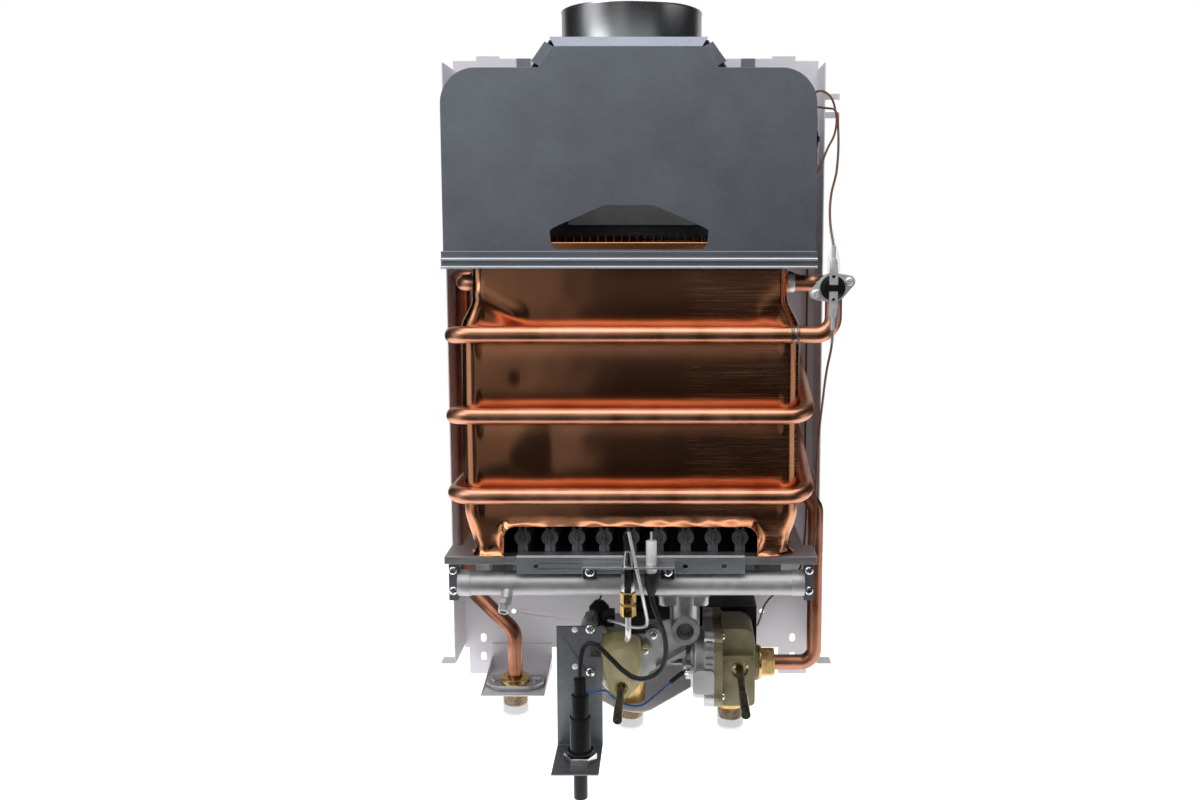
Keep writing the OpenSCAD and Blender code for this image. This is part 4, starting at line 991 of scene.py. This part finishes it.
# Disc thermostats: ear plate with screws, moulded case and contact blades
EAR_AT, EAR_R, DISC_R, CASE_R = 13, 4.6, 11, 9.2
EAR_TURN = math.radians(20)
EAR_SCREW_R, EAR_SCREW_TURN = 3.1, 0.9
PLATE, CASE_TOP = 1, 7
CASE_RIM = [(CASE_R + 0.9, PLATE), (CASE_R + 0.9, 1.8), (CASE_R, 1.8)]
CASE = [(CASE_R, PLATE), (CASE_R, 4.4), (CASE_R - 0.5, 5), (8, 5), (7.6, 6.4), (7, CASE_TOP),
        (0, CASE_TOP)]
BRIDGE_A, BRIDGE_B, BRIDGE_TOP = (-4.6, 4.6), (-2, 2), 8.4
TAB_HALF, TAB_START, TAB_END, TAB_END_IN_SLEEVE = 3.15, 2.4, 19.3, 15
TAB_HOLE, TAB_HOLE_R, TAB_TOP = 8.5, 1.3, 7.8
SPILL_SEAT_X = 138.5
# Round a sleeved blade: distance from the middle and radius, at a height over the plate
SLEEVE = [(11.5, 4.1), (12, 4.6), (13.5, 4.7), (21, 4.6), (25, 3.5), (28, 2.5), (30, 2.1)]
CRIMP = [(14, 3.0), (19, 2.8), (22, 1.7)]
SLEEVE_H, SLEEVE_FLAT, CRIMP_H, CRIMP_FLAT = 6.0, 0.66, 6.4, 0.5
STRAND, STRAND_R, STRAND_H = (22, 31), 1.5, 5.6
CUFF_R, CUFF_SHARE = 1.75, 0.75


def ear_outline():
    lean = math.acos((DISC_R - EAR_R) / EAR_AT)
    half = arc((EAR_AT, 0), EAR_R, -lean, lean) + arc((0, 0), DISC_R, lean, math.pi - lean)
    outline = half + [(-a, -b) for a, b in half]
    c, s = math.cos(EAR_TURN), math.sin(EAR_TURN)
    return [(a * c - b * s, a * s + b * c) for a, b in outline]


def thermostat(ears, cases, sleeves, place, normal, sleeved):
    """One thermostat: ear plate with two screws, moulded case, two blades and their clear sleeves."""
    middle = place @ Vector((0, 0, 0))
    ears.add(prism(ear_outline(), 0, PLATE, place))
    ears.add(lathe(CASE_RIM, middle, normal))
    cases.add(lathe(CASE, middle, normal))
    cases.add(block(BRIDGE_A, BRIDGE_B, CASE_TOP, BRIDGE_TOP, place))
    for end in (-1, 1):
        ear = Vector((end * EAR_AT * math.cos(EAR_TURN), end * EAR_AT * math.sin(EAR_TURN), PLATE))
        ears.add(screw_head(place @ ear, normal, EAR_SCREW_R, EAR_SCREW_TURN))
        blade = place @ Matrix.Rotation(0 if end > 0 else math.pi, 4, "Z")
        ends = (TAB_START, TAB_END_IN_SLEEVE if sleeved else TAB_END)
        ears.add(tab(TAB_HALF, ends, TAB_HOLE, TAB_HOLE_R, CASE_TOP, TAB_TOP, blade))
        if not sleeved:
            continue
        across = (blade @ Vector(RIGHT) - middle).normalized()
        for shape, run, height, sides, flat in (
            (sleeves, SLEEVE, SLEEVE_H, 24, SLEEVE_FLAT),
            (ears, CRIMP, CRIMP_H, 16, CRIMP_FLAT),
        ):
            line = [blade @ Vector((0, b, height)) for b, _ in run]
            shape.add(sweep(line, [r for _, r in run], sides, flat, across))
        ears.add(sweep([blade @ Vector((0, b, STRAND_H)) for b in STRAND], STRAND_R, 16))


def make_thermostats():
    ears, cases, sleeves = Shape(), Shape(), Shape()
    limit = plane(LIMIT_X, LIMIT_D, LIMIT_Z, RIGHT, UP)
    spill = plane(SPILL_SEAT_X, SPILL_D, SPILL_Z, BACK, UP)
    thermostat(ears, cases, sleeves, limit, Vector(FRONT), True)
    thermostat(ears, cases, sleeves, spill, Vector(RIGHT), False)
    for name in ("limit_wire_up", "limit_wire_down"):
        first, second = [at(*p) for p in CORDS[name][-1][:2]]
        sleeves.add(sweep([first, first.lerp(second, CUFF_SHARE)], CUFF_R, 16))
    piece("thermostat_ears", ears, "zinc", "thermostat_plates", bevel=0.15)
    piece("thermostat_cases", cases, "black_plastic", "thermostat_bodies", bevel=0.25)
    piece("clear_sleeves", sleeves, "clear_plastic", "terminal_sleeves")


make_thermostats()


# Burner blades: stamped halves with a keyhole section, a front seam and two rows of ports
BLADES, BLADE_PITCH = 11, 21.2
BLADE_BACK, BLADE_FRONT, BLADE_LOW, BLADE_TOP = 44, 138, -8, 20
BULB_R, BULB_Z, BULB_LEAN = 6.4, 12, math.radians(56)
SLOT_HALF, BLADE_HALF = 1.2, 3.4
MIXER = [(-58, -8), (-58, -26), (-121, -34), (-124, -34), (-124, -13), (-121, -8)]
MIXER_HALF = 5.5
SEAM_HALF, SEAM_TOP, SEAM_OUT = 0.55, 17, 3
FACE_RINGS = [(BULB_R - 0.5, 0.5), (2.6, 0.4)]  # radius, and distance in front of the face
RING_START, RING_END, RING_R = math.radians(-68), math.radians(248), 0.65
PORT_STEP, PORT_L, PORT_H = 4, 2.4, 0.9
# Floor and back of the burner, and a sheet under its back, all in dark steel that stands in for the shade
# inside and under the burner: painted shade. The sheet only darkens the slit under the tray.
BASE_LOW, BASE_TOP, BASE_BACK_TOP = -8.4, -7.4, 6
SHADE_SHEET_OVER, SHADE_SHEET_D, SHADE_SHEET_Z = 8, (57, 58.2), (-46, -8.2)


def blade_section():
    right = [(4, BLADE_LOW), (4, 3.5)] + arc((0, BULB_Z), BULB_R, -BULB_LEAN, BULB_LEAN, 14)
    right += [(BLADE_HALF, 18.2), (BLADE_HALF, BLADE_TOP), (SLOT_HALF, BLADE_TOP), (SLOT_HALF, 16.8)]
    return right + [(-a, b) for a, b in reversed(right)]


def make_blades():
    bars = Shape()
    for k in range(BLADES):
        x = (k - BLADES // 2) * BLADE_PITCH
        place = plane(x, 0, 0, RIGHT, UP)
        bars.add(prism(blade_section(), BLADE_BACK, BLADE_FRONT, place))
        bars.add(prism(MIXER, -MIXER_HALF, MIXER_HALF, plane(x, 0, 0, BACK, UP)))
        seam = (-SEAM_HALF, SEAM_HALF), (BLADE_LOW, SEAM_TOP)
        bars.add(block(*seam, BLADE_FRONT, BLADE_FRONT + SEAM_OUT, place))
        for r, lift in FACE_RINGS:
            ring = arc((0, BULB_Z), r, RING_START, RING_END, 28)
            ring = [place @ Vector((a, b, BLADE_FRONT + lift)) for a, b in ring]
            bars.add(sweep(ring, RING_R, 10))
        for h in range(BLADE_BACK + 3, BLADE_FRONT - 2, PORT_STEP):
            for half in ((-BLADE_HALF, -SLOT_HALF), (SLOT_HALF, BLADE_HALF)):
                bars.add(block(half, (BLADE_TOP, BLADE_TOP + PORT_H), h, h + PORT_L, place))
    reach = BLADES / 2 * BLADE_PITCH
    # The sheet under the back stands in for the shade in the slit under the tray: painted shade
    shade_sheet_half = reach + SHADE_SHEET_OVER
    base = Shape()
    base.add(slab((-reach, reach), (BLADE_BACK - 2, BLADE_FRONT - 1), (BASE_LOW, BASE_TOP)))
    base.add(slab((-reach, reach), (BLADE_BACK - 3, BLADE_BACK - 2), (BASE_LOW, BASE_BACK_TOP)))
    base.add(slab((-shade_sheet_half, shade_sheet_half), SHADE_SHEET_D, SHADE_SHEET_Z))
    # Floor, back and sheet in dark steel: painted shade
    piece("burner_base", base, "burner_shade_steel", "burner_blades")
    piece("burner_bars", bars, "burner_steel", "burner_blades", bevel=0.2)


make_blades()


# Water and gas ends with their pipe threads: profiles of (radius, height) over a seat
G_HALF_R, G_HALF_PITCH, G_HALF_DEPTH, PIPE_BORE = 10.48, 1.814, 1.16, 7.0
THREAD_LOW = -163
HOT_COLLAR = [(7.5, 0), (12, 0), (13, 1), (13, 4.4), (12.2, 6.2), (10.4, 7), (7.5, 7)]
HOT_RING = [(11.4, 0), (11.8, 0.6), (11.8, 2.4), (11.4, 3)]
HOT_SEAT, HOT_RING_Z, HOT_THREAD = -145, -148.6, -148.4
FLANGE = [(-25, 12), (-25, -3), (-20, -9), (-12, -13), (12, -13), (20, -9), (25, -3), (25, 12),
          (22, 13), (-22, 13)]
FLANGE_Z = (-2.4, 2.2)
COLD_NECK = [(10.6, 0), (12, 1), (12, 10), (11, 11), (0, 11)]
COLD_AT, COLD_SEAT, COLD_THREAD = (81, 72), -153, -152.6
GAS_NECK = [(10.8, 0), (12.5, 1.2), (12.5, 23), (11.6, 24), (0, 24)]
GAS_AT, GAS_SEAT, GAS_THREAD = (-4, 70), -148, -147.6


def pipe_end(place, top):
    length = top - THREAD_LOW
    return threaded(at(*place, THREAD_LOW), UP, G_HALF_R, length, G_HALF_PITCH, G_HALF_DEPTH, PIPE_BORE)


def make_ends():
    hot, flange, cold, gas = Shape(), Shape(), Shape(), Shape()
    hot.add(lathe(HOT_COLLAR, at(*HOT_AT, HOT_SEAT), UP))
    hot.add(lathe(HOT_RING, at(*HOT_AT, HOT_RING_Z), UP)).add(pipe_end(HOT_AT, HOT_THREAD))
    flange.add(prism(FLANGE, *FLANGE_Z, plane(*HOT_AT, HOT_SEAT, RIGHT, BACK)))
    cold.add(lathe(COLD_NECK, at(*COLD_AT, COLD_SEAT), UP)).add(pipe_end(COLD_AT, COLD_THREAD))
    gas.add(lathe(GAS_NECK, at(*GAS_AT, GAS_SEAT), UP)).add(pipe_end(GAS_AT, GAS_THREAD))
    piece("hot_union", hot, "brass", "hot_outlet")
    piece("hot_flange", flange, "valve_alloy", "hot_outlet", bevel=0.6)
    piece("cold_union", cold, "brass", "cold_inlet")
    piece("gas_union", gas, "brass", "gas_inlet")


make_ends()


# Test nipple: a neck, a hexagon and a threaded tip closed by a plug
NIPPLE_AXIS = Vector((-0.08, -0.74, -0.67)).normalized()
NIPPLE_FOOT = (-96, 146.5, -28)
NIPPLE_NECK = [(4.8, 0), (4.4, 2.5), (4.4, 8), (3.8, 8.6), (3.8, 9.4)]
HEX_R, HEX_START, HEX_LOW, HEX_HIGH = 5.2, 0.3, 9, 13
TIP_R, TIP_L, TIP_PITCH, TIP_DEPTH, TIP_BORE = 4.3, 5.5, 0.9, 0.55, 2.8
PLUG = [(0, 0), (2.9, 0), (2.9, 4.0), (0, 4.0)]


def make_nipple():
    foot = at(*NIPPLE_FOOT)
    tip = foot + NIPPLE_AXIS * HEX_HIGH * MM
    up = NIPPLE_AXIS.cross(Vector(RIGHT)).normalized()
    face = plane(*NIPPLE_FOOT, up.cross(NIPPLE_AXIS), up)
    hexagon = arc((0, 0), HEX_R, HEX_START, HEX_START + math.tau * 5 / 6, 5)
    nipple = Shape().add(lathe(NIPPLE_NECK, foot, NIPPLE_AXIS))
    nipple.add(prism(hexagon, HEX_LOW, HEX_HIGH, face))
    nipple.add(threaded(tip, NIPPLE_AXIS, TIP_R, TIP_L, TIP_PITCH, TIP_DEPTH, TIP_BORE))
    nipple.add(lathe(PLUG, tip, NIPPLE_AXIS))
    piece("nipple_turned", nipple, "alloy", "test_nipple", bevel=0.2)


make_nipple()


# Small fittings that no node shows: profile, way that it faces, and places
FITTINGS = [
    ([(6.5, 0), (7.2, 0.6), (7.2, 5), (6.5, 6)], RIGHT, [(119.5, CORE_FRONT, CORE_Z)]),
    ([(0, 0), (4.6, 0), (4.6, 0.8), (0, 0.8)], FRONT, [(44.5, 102.4, -110)]),
    ([(1.3, -1), (1.3, 1.6), (1.0, 2), (0, 2)], FRONT, [(82.8, 105, -105.7), (93.1, 105, -105.7)]),
    ([(2.6, 0), (2.3, 0.6), (1.2, 1.1), (0, 1.2)], FRONT, [(-47, 115, -71), (-47, 115, -102)]),
]
SOLDER_BAND = [(6.5, 0), (6.9, 0.4), (6.9, 2.0), (6.5, 2.4)]
SOLDER_X = (120.5, 124.6)
EARTH_SLEEVE_R, EARTH_SLEEVE_START = 1.9, 0.3


def make_fittings():
    bands, joints = Shape(), Shape()
    for profile, axis, places in FITTINGS:
        for place in places:
            bands.add(lathe(profile, at(*place), axis))
    for x in SOLDER_X:
        joints.add(lathe(SOLDER_BAND, at(x, COIL_FRONT, TOP_Z), RIGHT))
    before, near, end = [at(*p) for p in CORDS["earth_lead"][-1][-3:]]
    sleeve = Shape().add(sweep([before.lerp(near, EARTH_SLEEVE_START), near, end], EARTH_SLEEVE_R, 16))
    piece("small_fittings", bands, "zinc")
    piece("soldered_joints", joints, "solder")
    piece("earth_sleeve", sleeve, "black_rubber")


make_fittings()
